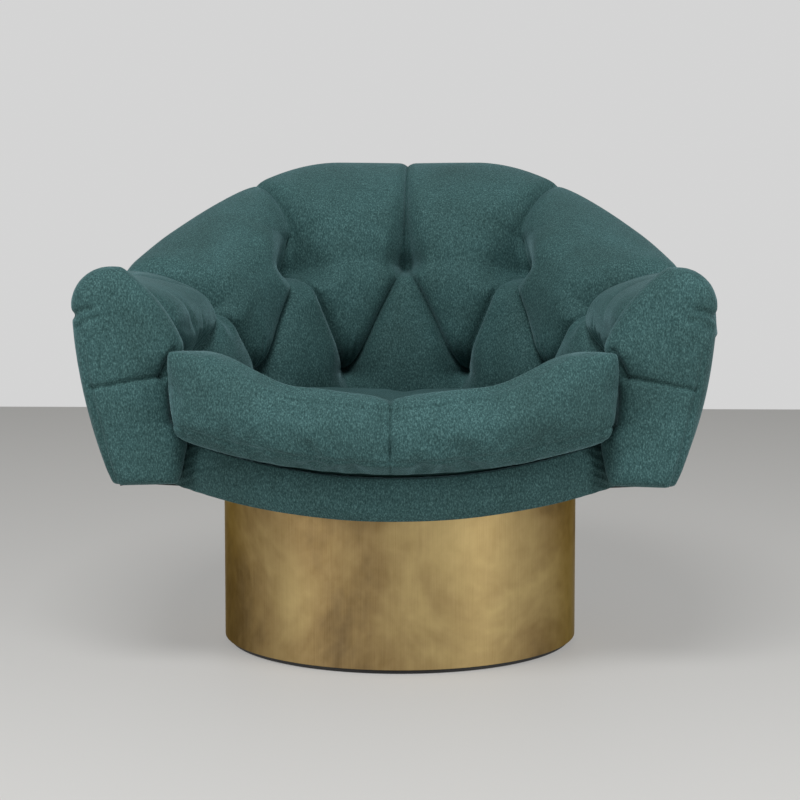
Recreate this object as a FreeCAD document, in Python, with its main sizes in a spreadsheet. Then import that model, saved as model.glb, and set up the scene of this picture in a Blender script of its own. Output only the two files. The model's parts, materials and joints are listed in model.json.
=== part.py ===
"""Pedestal swivel armchair: a deep-tufted barrel shell with a loose seat cushion on a brass-clad drum.

Millimetres, +Z up, origin on the swivel axis at the floor, the sitter faces -Y.
The shell is laid out along one plan line, the ridge line, which runs under the crest of the
back and arms: a half circle round the back and a long, slightly converging arc down each arm.
A place on the shell is (run, offset, height): run is measured along the ridge line from the
centre of the back (left arm negative), offset is square to the line and positive outwards.
"""
import FreeCAD, Part
import math
import os
import Sketcher
from FreeCAD import Placement, Rotation, Vector

doc = FreeCAD.newDocument("swivel_armchair")

# Driving dimensions
sheet = doc.addObject("Spreadsheet::Sheet", "Sizes")
ROWS = (
    # Drum base
    ("plinth_set_in", 6),
    ("plinth_thick", 6.5),
    ("plinth_edge_bevel", 1.2),
    ("drum_dia", 508),
    ("sleeve_thick", 1.5),
    ("sleeve_seam_gap", 0.6),
    ("drum_height", 207.5),
    ("drum_wall_thick", 12),
    ("fit_gap", 0.25),
    ("board_thick", 18),
    ("top_board_recess", 8),
    ("batten_width", 45),
    ("batten_depth", 28),
    ("batten_count", 4),
    # Swivel bearing
    ("plate_side", 178),
    ("plate_thick", 3),
    ("plate_corner_round", 16),
    ("plate_bolt_circle", 196),
    ("plate_bolt_hole", 8.5),
    ("race_dia", 134),
    ("swivel_height", 16),
    ("pivot_dia", 20),
    ("pivot_play", 0.05),
    ("pivot_head_dia", 34),
    ("pivot_head_thick", 2),
    ("pivot_lift", 0.4),
    ("pivot_clear_dia", 42),
    ("bolt_dia", 8),
    ("bolt_head_width", 13),
    ("bolt_head_thick", 4),
    ("nut_width", 15),
    ("nut_thick", 5),
    # Swivel board and seat platform
    ("swivel_board_dia", 480),
    ("swivel_board_thick", 26),
    ("platform_thick", 14),
    ("platform_offset", -18),
    ("platform_side_lead", 93),
    ("platform_front_half", 200),
    ("platform_corner_out", 80),
    ("platform_corner_lead", 22),
    ("nut_clear_dia", 24),
    ("underside_thick", 1.2),
    # Ridge line of the shell
    ("back_radius", 383),
    ("arm_radius", 1600),
    ("shell_run", 885),
    ("arm_top", 549),
    ("back_top", 685),
    ("rise_begins", 544),
    ("rise_ends", 107),
    # Outside of the shell, from its lower edge to its widest line
    ("shell_bottom", 262),
    ("outer_low", 17),
    ("outer_wide", 62),
    ("arm_narrowing", 5),
    ("roll_depth", 94),
    ("cover_thick", 8),
    ("backing_thick", 3),
    ("lay_gap", 0.3),
    ("bow_gap", 1.5),
    # Hardwood frame
    ("rail_top", 300),
    ("rail_width", 42),
    ("post_thick", 20),
    ("post_width", 46),
    ("top_rail_depth", 34),
    ("top_rail_height", 36),
    ("top_rail_cover", 46),
    ("front_rail_thick", 22),
    ("front_rail_end_inset", 37),
    # Tufted inside
    ("tuft_pitch", 260),
    ("back_tuft_height", 535),
    ("arm_tuft_height", 455),
    ("back_tuft_low", 373),
    ("arm_tuft_low", 411),
    ("row_slope_end", 680),
    ("row_slope_run", 400),
    ("low_row_slope_run", 300),
    ("tuft_offset", -98),
    ("arm_tuft_offset", -70),
    ("low_tuft_offset", -140),
    ("arm_low_tuft_offset", -62),
    ("pillow_swell", 20),
    ("arm_pillow_swell", 9),
    ("diamond_swell", 21),
    ("low_pillow_swell", 14),
    ("roll_swell", 16),
    ("ridge_notch", 7),
    ("foot_rise_lead", 230),
    ("foot_rise_run", 110),
    ("foot_high", 322),
    # Arm fronts
    ("arm_front_thick", 34),
    ("arm_front_round", 17),
    ("arm_front_inner", 63),
    ("arm_inner_high", 424),
    ("arm_inner_low", 342),
    ("arm_front_lobe", 80),
    ("arm_lobe_height", 452),
    ("arm_tuck", 84),
    ("arm_tuck_height", 316),
    ("arm_foot", 73),
    # Front rail cover
    ("apron_lead", 75),
    ("apron_end_lead", -17),
    ("apron_low", 224),
    ("apron_high", 280),
    ("apron_rise", 39),
    ("apron_end_inset", 72),
    ("apron_padding", 9),
    # Seat deck and loose cushion
    ("cushion_lead", 128),
    ("cushion_corner_inset", 68),
    ("cushion_corner_set_back", 77),
    ("cushion_corner_depth", 30),
    ("cushion_low_front", 300),
    ("cushion_high_front", 394),
    ("cushion_low_rear", 271),
    ("cushion_high_rear", 328),
    ("cushion_smile", 40),
    ("cushion_high_smile", 47),
    ("cushion_crown", 5),
    ("cushion_waist", 7),
    ("cushion_pinch", 7),
    ("cushion_gap", 4),
    ("deck_side_gap", 2),
)
for row, (alias, value) in enumerate(ROWS, start=1):
    sheet.set("A%d" % row, alias)
    sheet.set("B%d" % row, str(value))
    sheet.setAlias("B%d" % row, alias)
doc.recompute()


def size(alias):
    return float(sheet.get(alias))


# Heights that follow from the stack of pieces
drum_top = size("plinth_thick") + size("drum_height")
swivel_bottom = drum_top - size("top_board_recess")
swivel_top = swivel_bottom + size("swivel_height")
platform_bottom = swivel_top + size("swivel_board_thick")
platform_top = platform_bottom + size("platform_thick")
parts = []


def keep(item, label):
    """Names a finished sub-part and puts it on the list that is written out."""
    item.Label = label
    parts.append(item)
    return item


# Helpers for pieces that are padded from a sketch


def new_body(label, height=None):
    """A body whose foot stands at the height that an expression gives."""
    body = doc.addObject("PartDesign::Body", label + "_body")
    if height:
        body.setExpression(".Placement.Base.z", height)
    return keep(body, label)


def plane_of(body, role):
    return next(f for f in body.Origin.OriginFeatures if f.Role == role)


def new_sketch(body, name, role="XY_Plane", lift=None):
    sketch = body.newObject("Sketcher::SketchObject", name)
    sketch.AttachmentSupport = [(plane_of(body, role), "")]
    sketch.MapMode = "FlatFace"
    if lift:
        sketch.setExpression(".AttachmentOffset.Base.z", lift)
    return sketch


def add_circle(sketch, radius, x=None, y=None):
    """A circle on the sketch's origin, or at the distances from it that the expressions give."""
    start = Vector(50 if x else 0, 50 if y else 0, 0)
    item = sketch.addGeometry(Part.Circle(start, Vector(0, 0, 1), 1.0), False)
    spot = sketch.addConstraint(Sketcher.Constraint("Radius", item, 1.0))
    sketch.setExpression("Constraints[%d]" % spot, radius)
    if not x:
        sketch.addConstraint(Sketcher.Constraint("Coincident", item, 3, -1, 1))
        return item
    spot = sketch.addConstraint(Sketcher.Constraint("DistanceX", -1, 1, item, 3, 50.0))
    sketch.setExpression("Constraints[%d]" % spot, x)
    if y:
        spot = sketch.addConstraint(Sketcher.Constraint("DistanceY", -1, 1, item, 3, 50.0))
        sketch.setExpression("Constraints[%d]" % spot, y)
    else:
        sketch.addConstraint(Sketcher.Constraint("PointOnObject", item, 3, -1))
    return item


def add_rectangle(sketch, left, right, low, high):
    """A rectangle whose four sides lie at the distances that the expressions give."""
    corners = [Vector(-1, -1, 0), Vector(1, -1, 0), Vector(1, 1, 0), Vector(-1, 1, 0)]
    lines = [
        sketch.addGeometry(Part.LineSegment(corners[i], corners[(i + 1) % 4]), False)
        for i in range(4)
    ]
    for i in range(4):
        sketch.addConstraint(Sketcher.Constraint("Coincident", lines[i], 2, lines[(i + 1) % 4], 1))
    for i in (0, 2):
        sketch.addConstraint(Sketcher.Constraint("Horizontal", lines[i]))
        sketch.addConstraint(Sketcher.Constraint("Vertical", lines[i + 1]))
    ends = (("DistanceX", 3, left), ("DistanceX", 1, right), ("DistanceY", 0, low), ("DistanceY", 2, high))
    for kind, line, expression in ends:
        spot = sketch.addConstraint(Sketcher.Constraint(kind, -1, 1, lines[line], 1, 1.0))
        sketch.setExpression("Constraints[%d]" % spot, expression)


def add_pad(body, sketch, length, name="Pad"):
    pad = body.newObject("PartDesign::Pad", name)
    pad.Profile = sketch
    pad.setExpression("Length", length)
    return pad


def cut_through(body, sketch, name):
    """Cuts the sketch through everything, both ways."""
    pocket = body.newObject("PartDesign::Pocket", name)
    pocket.Profile = sketch
    pocket.Type = "ThroughAll"
    pocket.Midplane = True
    return pocket


def repeat_round(body, feature, count, name):
    pattern = body.newObject("PartDesign::PolarPattern", name)
    pattern.Originals = [feature]
    pattern.Axis = (plane_of(body, "Z_Axis"), [""])
    pattern.Angle = 360
    pattern.Occurrences = count
    body.Tip = pattern
    return pattern


# Drum base: black plinth, two boards, a bent wall, glue battens and the brass sleeve


def round_board(label, radius, thick, height):
    body = new_body(label, height)
    sketch = new_sketch(body, label + "_outline")
    add_circle(sketch, radius)
    add_pad(body, sketch, thick)
    return body


def tube_body(label, outer, inner, length, height):
    body = new_body(label, height)
    sketch = new_sketch(body, label + "_ring")
    add_circle(sketch, outer)
    add_circle(sketch, inner)
    add_pad(body, sketch, length)
    return body


def make_drum():
    plinth = round_board("plinth_disc", "Sizes.drum_dia / 2 - Sizes.plinth_set_in", "Sizes.plinth_thick", None)
    doc.recompute()
    pad = plinth.Tip
    edge = plinth.newObject("PartDesign::Chamfer", "plinth_bevel")
    rims = [
        "Edge%d" % (i + 1)
        for i, rim in enumerate(pad.Shape.Edges)
        if len(rim.Vertexes) == 1 and rim.CenterOfMass.z < 1
    ]
    edge.Base = (pad, rims)
    edge.setExpression("Size", "Sizes.plinth_edge_bevel")
    wall_outer = "Sizes.drum_dia / 2 - Sizes.sleeve_thick - Sizes.fit_gap"
    wall_inner = wall_outer + " - Sizes.drum_wall_thick"
    board = wall_inner + " - Sizes.fit_gap"
    tube_body("drum_wall", wall_outer, wall_inner, "Sizes.drum_height", "Sizes.plinth_thick")
    round_board("drum_bottom_board", board, "Sizes.board_thick", "Sizes.plinth_thick")
    top_foot = "Sizes.plinth_thick + Sizes.drum_height - Sizes.top_board_recess - Sizes.board_thick"
    top = round_board("drum_top_board", board, "Sizes.board_thick", top_foot)
    doc.recompute()
    drill = new_sketch(top, "bolt_clearance")
    add_circle(drill, "Sizes.plate_bolt_hole / 2", "Sizes.plate_bolt_circle / 2")
    holes = cut_through(top, drill, "bolt_clearance_cut")
    repeat_round(top, holes, 4, "bolt_clearance_ring")
    sleeve = tube_body(
        "brass_sleeve",
        "Sizes.drum_dia / 2",
        "Sizes.drum_dia / 2 - Sizes.sleeve_thick",
        "Sizes.drum_height",
        "Sizes.plinth_thick",
    )
    doc.recompute()
    slit = new_sketch(sleeve, "seam_slit")
    half = "Sizes.sleeve_seam_gap / 2"
    add_rectangle(slit, "-" + half, half, "Sizes.drum_dia / 4", "Sizes.drum_dia")
    cut_through(sleeve, slit, "seam_slit_cut")
    make_battens()


def make_battens():
    """Upright glue battens between the two boards, each against the drum wall."""
    count = int(size("batten_count"))
    reach = (
        "Sizes.drum_dia / 2 - Sizes.sleeve_thick - Sizes.fit_gap - Sizes.drum_wall_thick"
        " - Sizes.batten_depth - 1.4"
    )
    for i in range(count):
        batten = doc.addObject("Part::Box", "batten_%d" % (i + 1))
        batten.setExpression("Length", "Sizes.batten_depth")
        batten.setExpression("Width", "Sizes.batten_width")
        batten.setExpression(
            "Height", "Sizes.drum_height - 2 * Sizes.board_thick - Sizes.top_board_recess"
        )
        turn = math.radians(360.0 * i / count)
        side, ahead = math.sin(turn), math.cos(turn)
        batten.Placement.Rotation = Rotation(Vector(0, 0, 1), math.degrees(turn))
        half = "Sizes.batten_width / 2"
        batten.setExpression(
            ".Placement.Base.x", "(%s) * %.6f + %s * %.6f" % (reach, ahead, half, side)
        )
        batten.setExpression(
            ".Placement.Base.y", "(%s) * %.6f - %s * %.6f" % (reach, side, half, ahead)
        )
        batten.setExpression(".Placement.Base.z", "Sizes.plinth_thick + Sizes.board_thick")
        keep(batten, "drum_batten_%d" % (i + 1))


# Swivel bearing: two plates, of which the lower carries the race and a headed pivot


def make_swivel_plate(label):
    """A square plate with rounded corners and a bolt hole in each corner."""
    body = doc.addObject("PartDesign::Body", label + "_body")
    keep(body, label)
    outline = new_sketch(body, label + "_outline")
    half = "Sizes.plate_side / 2"
    add_rectangle(outline, "-" + half, half, "-" + half, half)
    pad = add_pad(body, outline, "Sizes.plate_thick")
    doc.recompute()
    upright = [
        "Edge%d" % (i + 1)
        for i, edge in enumerate(pad.Shape.Edges)
        if abs(edge.tangentAt(edge.FirstParameter).z) > 0.99
    ]
    corners = body.newObject("PartDesign::Fillet", label + "_corners")
    corners.Base = (pad, upright)
    corners.setExpression("Radius", "Sizes.plate_corner_round")
    doc.recompute()
    drill = new_sketch(body, label + "_drill")
    corner = "Sizes.plate_bolt_circle / 2 / sqrt(2)"
    add_circle(drill, "Sizes.plate_bolt_hole / 2", corner, corner)
    holes = cut_through(body, drill, label + "_drill_cut")
    repeat_round(body, holes, 4, label + "_drill_ring")
    doc.recompute()
    return body


def make_swivel():
    lower = make_swivel_plate("lower_swivel_plate")
    stem = new_sketch(lower, "pivot_stem")
    add_circle(stem, "Sizes.pivot_dia / 2")
    add_pad(lower, stem, "Sizes.swivel_height + Sizes.pivot_lift", "pivot_stem_pad")
    race = new_sketch(lower, "race_boss")
    add_circle(race, "Sizes.race_dia / 2")
    add_pad(lower, race, "Sizes.swivel_height - Sizes.plate_thick - Sizes.pivot_play", "race_pad")
    doc.recompute()
    head = new_sketch(lower, "pivot_head", lift="Sizes.swivel_height + Sizes.pivot_lift")
    add_circle(head, "Sizes.pivot_head_dia / 2")
    add_pad(lower, head, "Sizes.pivot_head_thick", "pivot_head_pad")
    lower.Placement = Placement(Vector(0, 0, swivel_bottom), Rotation(Vector(0, 0, 1), 45))
    upper = make_swivel_plate("upper_swivel_plate")
    centre = new_sketch(upper, "pivot_bore")
    add_circle(centre, "Sizes.pivot_dia / 2 + Sizes.pivot_play")
    cut_through(upper, centre, "pivot_bore_cut")
    upper.Placement = Placement(Vector(0, 0, swivel_top - size("plate_thick")), Rotation())
    make_bolts()


def prism(sides, width, thick, low):
    """A regular prism that measures width across its flats."""
    radius = width / 2 / math.cos(math.pi / sides)
    turns = [2 * math.pi * (i + 0.5) / sides for i in range(sides)]
    ring = [Vector(radius * math.cos(t), radius * math.sin(t), low) for t in turns]
    return Part.Face(Part.makePolygon(ring + ring[:1])).extrude(Vector(0, 0, thick))


def bolt_ring(name, label, turn, head_low, shank, nut_low):
    """Four bolts on the plate's bolt circle: a hexagon head, a shank and a square nut."""
    head = prism(6, size("bolt_head_width"), size("bolt_head_thick"), head_low)
    low, high = min(shank), max(shank)
    stem = prism(8, size("bolt_dia") * math.cos(math.pi / 8), high - low, low)
    nut = prism(4, size("nut_width"), size("nut_thick"), nut_low)
    bolt = head.fuse([stem, nut]).removeSplitter()
    copies = []
    for i in range(4):
        copy = bolt.copy()
        copy.translate(Vector(size("plate_bolt_circle") / 2, 0, 0))
        copy.rotate(Vector(0, 0, 0), Vector(0, 0, 1), 90 * i)
        copies.append(copy)
    ring = doc.addObject("Part::Feature", name)
    ring.Shape = Part.makeCompound(copies)
    ring.Placement = Placement(Vector(0, 0, 0), Rotation(Vector(0, 0, 1), turn))
    keep(ring, label)


def make_bolts():
    thick, nut = size("plate_thick"), size("nut_thick")
    head_low = swivel_bottom + thick
    nut_low = swivel_bottom - size("board_thick") - nut
    bolt_ring("lower_bolts", "drum_bolts", 0, head_low, (head_low, nut_low), nut_low)
    head_low = swivel_top - thick - size("bolt_head_thick")
    bolt_ring("upper_bolts", "seat_bolts", 45, head_low, (head_low, platform_bottom), platform_bottom)


# Ridge line


def quarter_run():
    return math.pi / 2 * size("back_radius")


def ridge(run):
    """Plan point of the ridge line and its outward direction."""
    side = -1.0 if run < 0 else 1.0
    far, radius, arm = abs(run), size("back_radius"), size("arm_radius")
    if far <= quarter_run():
        turn = far / radius
        return Vector(side * radius * math.sin(turn), radius * math.cos(turn), 0), Vector(
            side * math.sin(turn), math.cos(turn), 0
        )
    turn = (far - quarter_run()) / arm
    out = Vector(side * math.cos(turn), -math.sin(turn), 0)
    return Vector(side * (radius - arm + arm * math.cos(turn)), -arm * math.sin(turn), 0), out


def place(run, offset, height):
    foot, out = ridge(run)
    return foot + out * offset + Vector(0, 0, height)


def ease(value):
    """Smooth step from 0 to 1."""
    t = max(0.0, min(1.0, value))
    return t * t * (3 - 2 * t)


def blend(low, high, share):
    return low + (high - low) * share


def arm_end():
    """Half width and forward reach of the ridge line at the arm fronts, which place all that is in front."""
    spot = ridge(size("shell_run"))[0]
    return spot.x, -spot.y


def ridge_height(run):
    share = ease((size("rise_begins") - abs(run)) / (size("rise_begins") - size("rise_ends")))
    return blend(size("arm_top"), size("back_top"), share)


def seam_height(run):
    """Where the outside cover ends under the roll."""
    return ridge_height(run) - size("roll_depth")


def armward(run):
    """0 round the back, 1 at the front end of an arm."""
    return ease((abs(run) - quarter_run()) / (size("shell_run") - quarter_run()))


def outer_offset(run, height):
    """Outside face of the cover: leans out from the lower edge and stands upright at the seam."""
    low = size("shell_bottom")
    share = (height - low) / (size("arm_top") - size("roll_depth") / 2 - low)
    share = max(0.0, min(1.0, share))
    swell = 1 - (1 - share) ** 2
    narrow = size("arm_narrowing") * armward(run) * (1 - share)
    return size("outer_low") + (size("outer_wide") - size("outer_low")) * swell - narrow


# Lofts along the ridge line


def off_chord(start, middle, end):
    """Keeps the middle point of an arc a little off its chord."""
    chord = end - start
    way = chord * (1.0 / chord.Length)
    aside = middle - start - way * way.dot(middle - start)
    if aside.Length > 0.4:
        return middle
    if aside.Length < 0.01:
        aside = way.cross(Vector(0, 0, 1) if abs(way.z) < 0.9 else Vector(0, 1, 0))
    return middle + aside * (0.4 / aside.Length)


def chords(start, middle, end, count):
    """Points that cut the arc through three points into that many equal chords."""
    arc = Part.Arc(start, off_chord(start, middle, end), end).toShape()
    span = arc.LastParameter - arc.FirstParameter
    return [arc.valueAt(arc.FirstParameter + span * i / count) for i in range(1, count + 1)]


def wire_of(pieces):
    """A closed wire from a chain of points. A pair (middle, end) makes an arc, a lone point a line."""
    edges, here = [], pieces[0]
    for item in pieces[1:]:
        if isinstance(item, tuple):
            edges.append(Part.Arc(here, off_chord(here, item[0], item[1]), item[1]).toShape())
            here = item[1]
        else:
            edges.append(Part.LineSegment(here, item).toShape())
            here = item
    return Part.Wire(edges)


def flat_face(points):
    return Part.Face(Part.makePolygon(points + points[:1]))


def skin_between(start, end):
    """Flat faces between two rings of as many points. A twisted four-sided face is split from its low
    corner nearer the back, so that parts that lie on each other are split alike, left and right too."""
    faces, count = [], len(start)
    for i in range(count):
        a, b = start[i], start[(i + 1) % count]
        c, d = end[(i + 1) % count], end[i]
        normal = (b - a).cross(d - a).normalize()
        if abs(normal.dot(c - a)) < 1e-7:
            faces.append(flat_face([a, b, c, d]))
        elif (a.y + b.y > c.y + d.y) == (a.z <= b.z):
            faces += [flat_face([a, b, c]), flat_face([a, c, d])]
        else:
            faces += [flat_face([a, b, d]), flat_face([b, c, d])]
    return faces


def loft_feature(name, label, wires):
    """A solid of flat faces through a chain of rings, which keeps its count of triangles low."""
    rings = [[corner.Point for corner in wire.OrderedVertexes] for wire in wires]
    faces = [Part.Face(wires[0]), Part.Face(wires[-1])]
    for start, end in zip(rings, rings[1:]):
        faces += skin_between(start, end)
    shell = Part.makeShell(faces)
    shell.sewShape()
    shape = Part.makeSolid(shell)
    if shape.Volume < 0:
        shape.reverse()
    item = doc.addObject("Part::Feature", name)
    item.Shape = shape
    return keep(item, label)


def along(name, label, section, start, end):
    """Lofts a section, given as (offset, height) corners in order, along the ridge line."""
    wires = []
    between = [run for run in shell_stations() if start + 1 < run < end - 1]
    for run in [start] + between + [end]:
        corners = [place(run, offset, height) for offset, height in section(run)]
        wires.append(wire_of(corners + corners[:1]))
    return loft_feature(name, label, wires)


def station_step():
    return size("tuft_pitch") / 6


def shell_stations():
    """Evenly spaced runs, six to a tuft pitch, and the two end runs. All of the shell shares them."""
    step = station_step()
    count = int(size("shell_run") / step)
    if size("shell_run") - count * step < step / 3:
        count -= 1
    inner = [i * step for i in range(-count, count + 1)]
    return [-size("shell_run")] + inner + [size("shell_run")]


# Outside of the shell: backing board and padded cover


def skin_wire(run, outside, thick, low, high):
    """A skin whose outer face lies that far inside the finished outside face."""
    heights = [blend(low, high, share) for share in (0, 0.3, 0.62, 1)]
    outer = [place(run, outer_offset(run, h) - outside, h) for h in heights]
    inner = [place(run, outer_offset(run, h) - outside - thick, h) for h in reversed(heights)]
    return wire_of(outer + inner + outer[:1])


def make_skins():
    cover, gap = size("cover_thick"), size("lay_gap")
    runs = shell_stations()
    low = size("shell_bottom")
    wires = [skin_wire(run, 0, cover, low, seam_height(run)) for run in runs]
    loft_feature("outside", "outside_cover", wires)
    wires = [
        skin_wire(run, cover + gap, size("backing_thick"), low + 4, seam_height(run) - 1)
        for run in runs
    ]
    loft_feature("backing", "backing_board", wires)


# Hardwood frame


def frame_offset(run, height):
    """Outer face of the frame, just inside the backing board."""
    inset = size("cover_thick") + size("backing_thick") + 2 * size("lay_gap")
    return outer_offset(run, height) - inset - size("bow_gap") - 2 * size("lay_gap")


def seat_rail_section(run):
    low, high = platform_top + size("lay_gap"), size("rail_top")
    outer = frame_offset(run, high)
    return [
        (outer - size("rail_width"), low),
        (frame_offset(run, low), low),
        (outer, high),
        (outer - size("rail_width"), high),
    ]


def top_rail_low(run):
    return ridge_height(run) - size("top_rail_cover") - size("top_rail_height")


def top_rail_section(run):
    low = top_rail_low(run)
    high = low + size("top_rail_height")
    outer = frame_offset(run, size("arm_top"))
    inner = outer - size("top_rail_depth")
    return [(inner, low), (outer, low), (outer, high), (inner, high)]


def post_block(label, run):
    """An upright that leans with the shell, cut to the seat rail below and the top rail above."""
    half, thick, gap = size("post_width") / 2, size("post_thick"), size("lay_gap")
    back = size("bow_gap")
    high = min(top_rail_low(run - half), top_rail_low(run + half)) - gap
    ends = []
    for height in (size("rail_top") + gap, high):
        corners = []
        for step, depth in ((-half, back + thick), (half, back + thick), (half, back), (-half, back)):
            here = run + step
            corners.append(place(here, frame_offset(here, height) - depth, height))
        ends.append(Part.makePolygon(corners + corners[:1]))
    loft_feature(label, label, ends)


def make_frame():
    join = station_step() * int(quarter_run() / station_step())
    end = size("shell_run") - size("lay_gap")
    spans = (("left", -end, -join), ("right", join, end))
    along("back_seat_rail", "back_seat_rail", seat_rail_section, -join, join)
    along("back_top_rail", "back_top_rail", top_rail_section, -join, join)
    for side, start, stop in spans:
        along("seat_rail_" + side, "side_seat_rail_" + side, seat_rail_section, start, stop)
        along("arm_rail_" + side, "arm_top_rail_" + side, top_rail_section, start, stop)
    pitch = size("tuft_pitch")
    for i in range(-2, 3):
        post_block("back_post_%d" % (i + 3), i * pitch * 0.94)
    edge = size("post_width") / 2 + 2 * size("lay_gap")
    for side, sign in (("left", -1), ("right", 1)):
        post_block("arm_post_" + side, sign * (size("shell_run") - edge))


# Tufted inside of the back and arms


def row_height(run, row):
    """Height of the upper (1) or lower (2) tuft row."""
    left = size("row_slope_end") - abs(run)
    if row == 1:
        share = ease(left / size("row_slope_run"))
        return blend(size("arm_tuft_height"), size("back_tuft_height"), share)
    share = ease(left / size("low_row_slope_run"))
    return blend(size("arm_tuft_low"), size("back_tuft_low"), share)


def row_offset(run, row):
    """How far inside the ridge line the bottom of the tufts lies."""
    pitch = size("tuft_pitch")
    if row == 1:
        share = ease((abs(run) - 2 * pitch) / pitch)
        return blend(size("tuft_offset"), size("arm_tuft_offset"), share)
    share = ease((abs(run) - 1.35 * pitch) / (2.3 * pitch))
    return blend(size("low_tuft_offset"), size("arm_low_tuft_offset"), share)


def pillow_swell(run):
    """The upper pillows too are flatter along the arms."""
    return blend(size("pillow_swell"), size("arm_pillow_swell"), armward(run))


def low_swell(run):
    """The lower pillows flatten towards the arm fronts."""
    share = ease((abs(run) - 2.5 * size("tuft_pitch")) / size("tuft_pitch"))
    return blend(size("low_pillow_swell"), 4, share)


def cell_share(run, row):
    """1 midway between two tufts of the row, 0 on a tuft."""
    phase = run / size("tuft_pitch") - (0.5 if row == 2 else 0.0)
    return math.sin(math.pi * phase) ** 2


def foot_height(run):
    """The padding stands on the platform, and on the arms steps up over the end of the front rail."""
    begin = size("shell_run") - size("foot_rise_lead")
    share = ease((abs(run) - begin) / size("foot_rise_run"))
    return blend(platform_top + size("lay_gap"), size("foot_high"), share)


def inner_points(run):
    """Offset and height of the points that the inside face passes, from the crest down."""
    up, down = cell_share(run, 1), cell_share(run, 2)
    crest = ridge_height(run) - size("ridge_notch") * (1 - up)
    swell = pillow_swell(run)
    diamond = blend(size("diamond_swell"), 6, armward(run)) * (1 - 3 * up * down)
    roll = size("roll_swell") * (0.25 + 0.75 * up) * (1 - 0.5 * armward(run))
    first = (row_offset(run, 1) - swell * up, row_height(run, 1))
    low = (row_offset(run, 2) - low_swell(run) * down, row_height(run, 2))
    shoulder = (blend(0, first[0], 0.62) - roll * 0.9, blend(crest, first[1], 0.38))
    middle = (
        blend(row_offset(run, 1), row_offset(run, 2), 0.5) - diamond,
        blend(first[1], low[1], 0.5),
    )
    foot = (row_offset(run, 2) - low_swell(run) * 0.4, foot_height(run))
    return crest, shoulder, first, middle, low, foot


def tufted_wire(run):
    gap, seam = size("lay_gap"), seam_height(run)
    crest, shoulder, first, middle, low, foot = inner_points(run)
    rail = top_rail_section(run)
    rail_low, rail_high = rail[0][1] - gap, rail[3][1] + gap
    behind = frame_offset(run, size("rail_top")) - size("rail_width") - gap
    under = frame_offset(run, rail_low) - size("post_thick") - 2 * size("bow_gap")
    under = min(under, rail[0][0]) - gap
    sill = size("rail_top") + gap
    outer = outer_offset(run, size("arm_top"))

    def level(offset, height):
        return place(run, offset, height)

    top, upper, lower = level(outer * 0.28, crest), level(*first), level(*low)
    back = [
        level(behind, foot[1]),
        level(behind, max(sill, foot[1] + 4)),
        level(under, rail_low),
        level(under, rail_high),
        level(rail[1][0] + gap, rail_high),
        level(rail[1][0] + gap, seam + gap),
        level(outer, seam + gap),
    ]
    roll = chords(back[-1], level(outer * 0.86, blend(crest, seam, 0.3)), top, 4)
    channel = chords(top, level(*shoulder), upper, 6)
    diamond = chords(upper, level(*middle), lower, 4)
    return wire_of(back + roll + channel + diamond + [level(*foot), back[0]])


def make_tufted_inside():
    loft_feature("tufted", "tufted_inside", [tufted_wire(run) for run in shell_stations()])


# Padded arm fronts


def arm_front_wire(side, run, shrink):
    """Outline of the arm end, drawn in all round by shrink: a lobe that leans over the cushion's corner."""
    top = ridge_height(run) - shrink
    inner = -size("arm_front_inner") + shrink
    lobe = -size("arm_front_lobe") + shrink
    tuck = -size("arm_tuck") + shrink
    low = size("shell_bottom") + shrink * 0.4
    wide = outer_offset(run, size("arm_top")) - shrink
    waist = blend(low, seam_height(run), 0.55)
    seam = seam_height(run) + size("roll_depth") / 2

    def level(offset, height):
        return place(side * run, offset, height)

    bottom, shoulder = level(outer_offset(run, low) - shrink, low), level(wide, seam)
    crest, lobe_tip = level(0, top), level(lobe, size("arm_lobe_height"))
    over_lobe = level(lobe * 0.6, blend(top, size("arm_lobe_height"), 0.45))
    outline = [bottom]
    outline += chords(bottom, level(outer_offset(run, waist) - shrink, waist), shoulder, 3)
    outline += chords(shoulder, level(wide * 0.8, blend(seam, top, 0.72)), crest, 4)
    outline += chords(crest, over_lobe, lobe_tip, 4)
    outline += [
        level(inner, size("arm_inner_high")),
        level(inner, size("arm_inner_low")),
        level(tuck, size("arm_tuck_height")),
        level(-size("arm_foot") + shrink, low),
        bottom,
    ]
    return wire_of(outline)


def make_arm_fronts():
    start = size("shell_run") + size("lay_gap")
    thick, curl = size("arm_front_thick"), size("arm_front_round")
    for label, side in (("arm_front_left", -1), ("arm_front_right", 1)):
        steps = ((0, 0), (0.6, 0.15), (1, 1))
        wires = [arm_front_wire(side, start + thick * far, curl * tuck) for far, tuck in steps]
        loft_feature(label, label, wires)


# Front rail, its cover, the deck and the loose cushion, which are lofted from side to side


def bow(x, front, half, set_back):
    """Plan line of a bowed front: front at the middle, set back at the corners."""
    radius = (half * half + set_back * set_back) / (2 * set_back)
    return -front + radius - math.sqrt(radius * radius - x * x)


def smile(x, rise, half):
    return rise * (x / half) ** 2


def apron_half():
    return arm_end()[0] - size("apron_end_inset")


def across(half):
    """Stations of the apron from side to side, and one more at each end where half is longer."""
    span = apron_half()
    inner = [span * (i / 4.0 - 1) for i in range(9)]
    return inner if half <= span else [-half] + inner + [half]


def rail_levels(x):
    """Front, low and high line of the finished apron at a station."""
    half = apron_half()
    front = arm_end()[1] + size("apron_lead")
    front = bow(x, front, half, size("apron_lead") - size("apron_end_lead"))
    lift = smile(x, size("apron_rise"), half)
    return front, size("apron_low") + lift, size("apron_high") + lift


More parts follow.
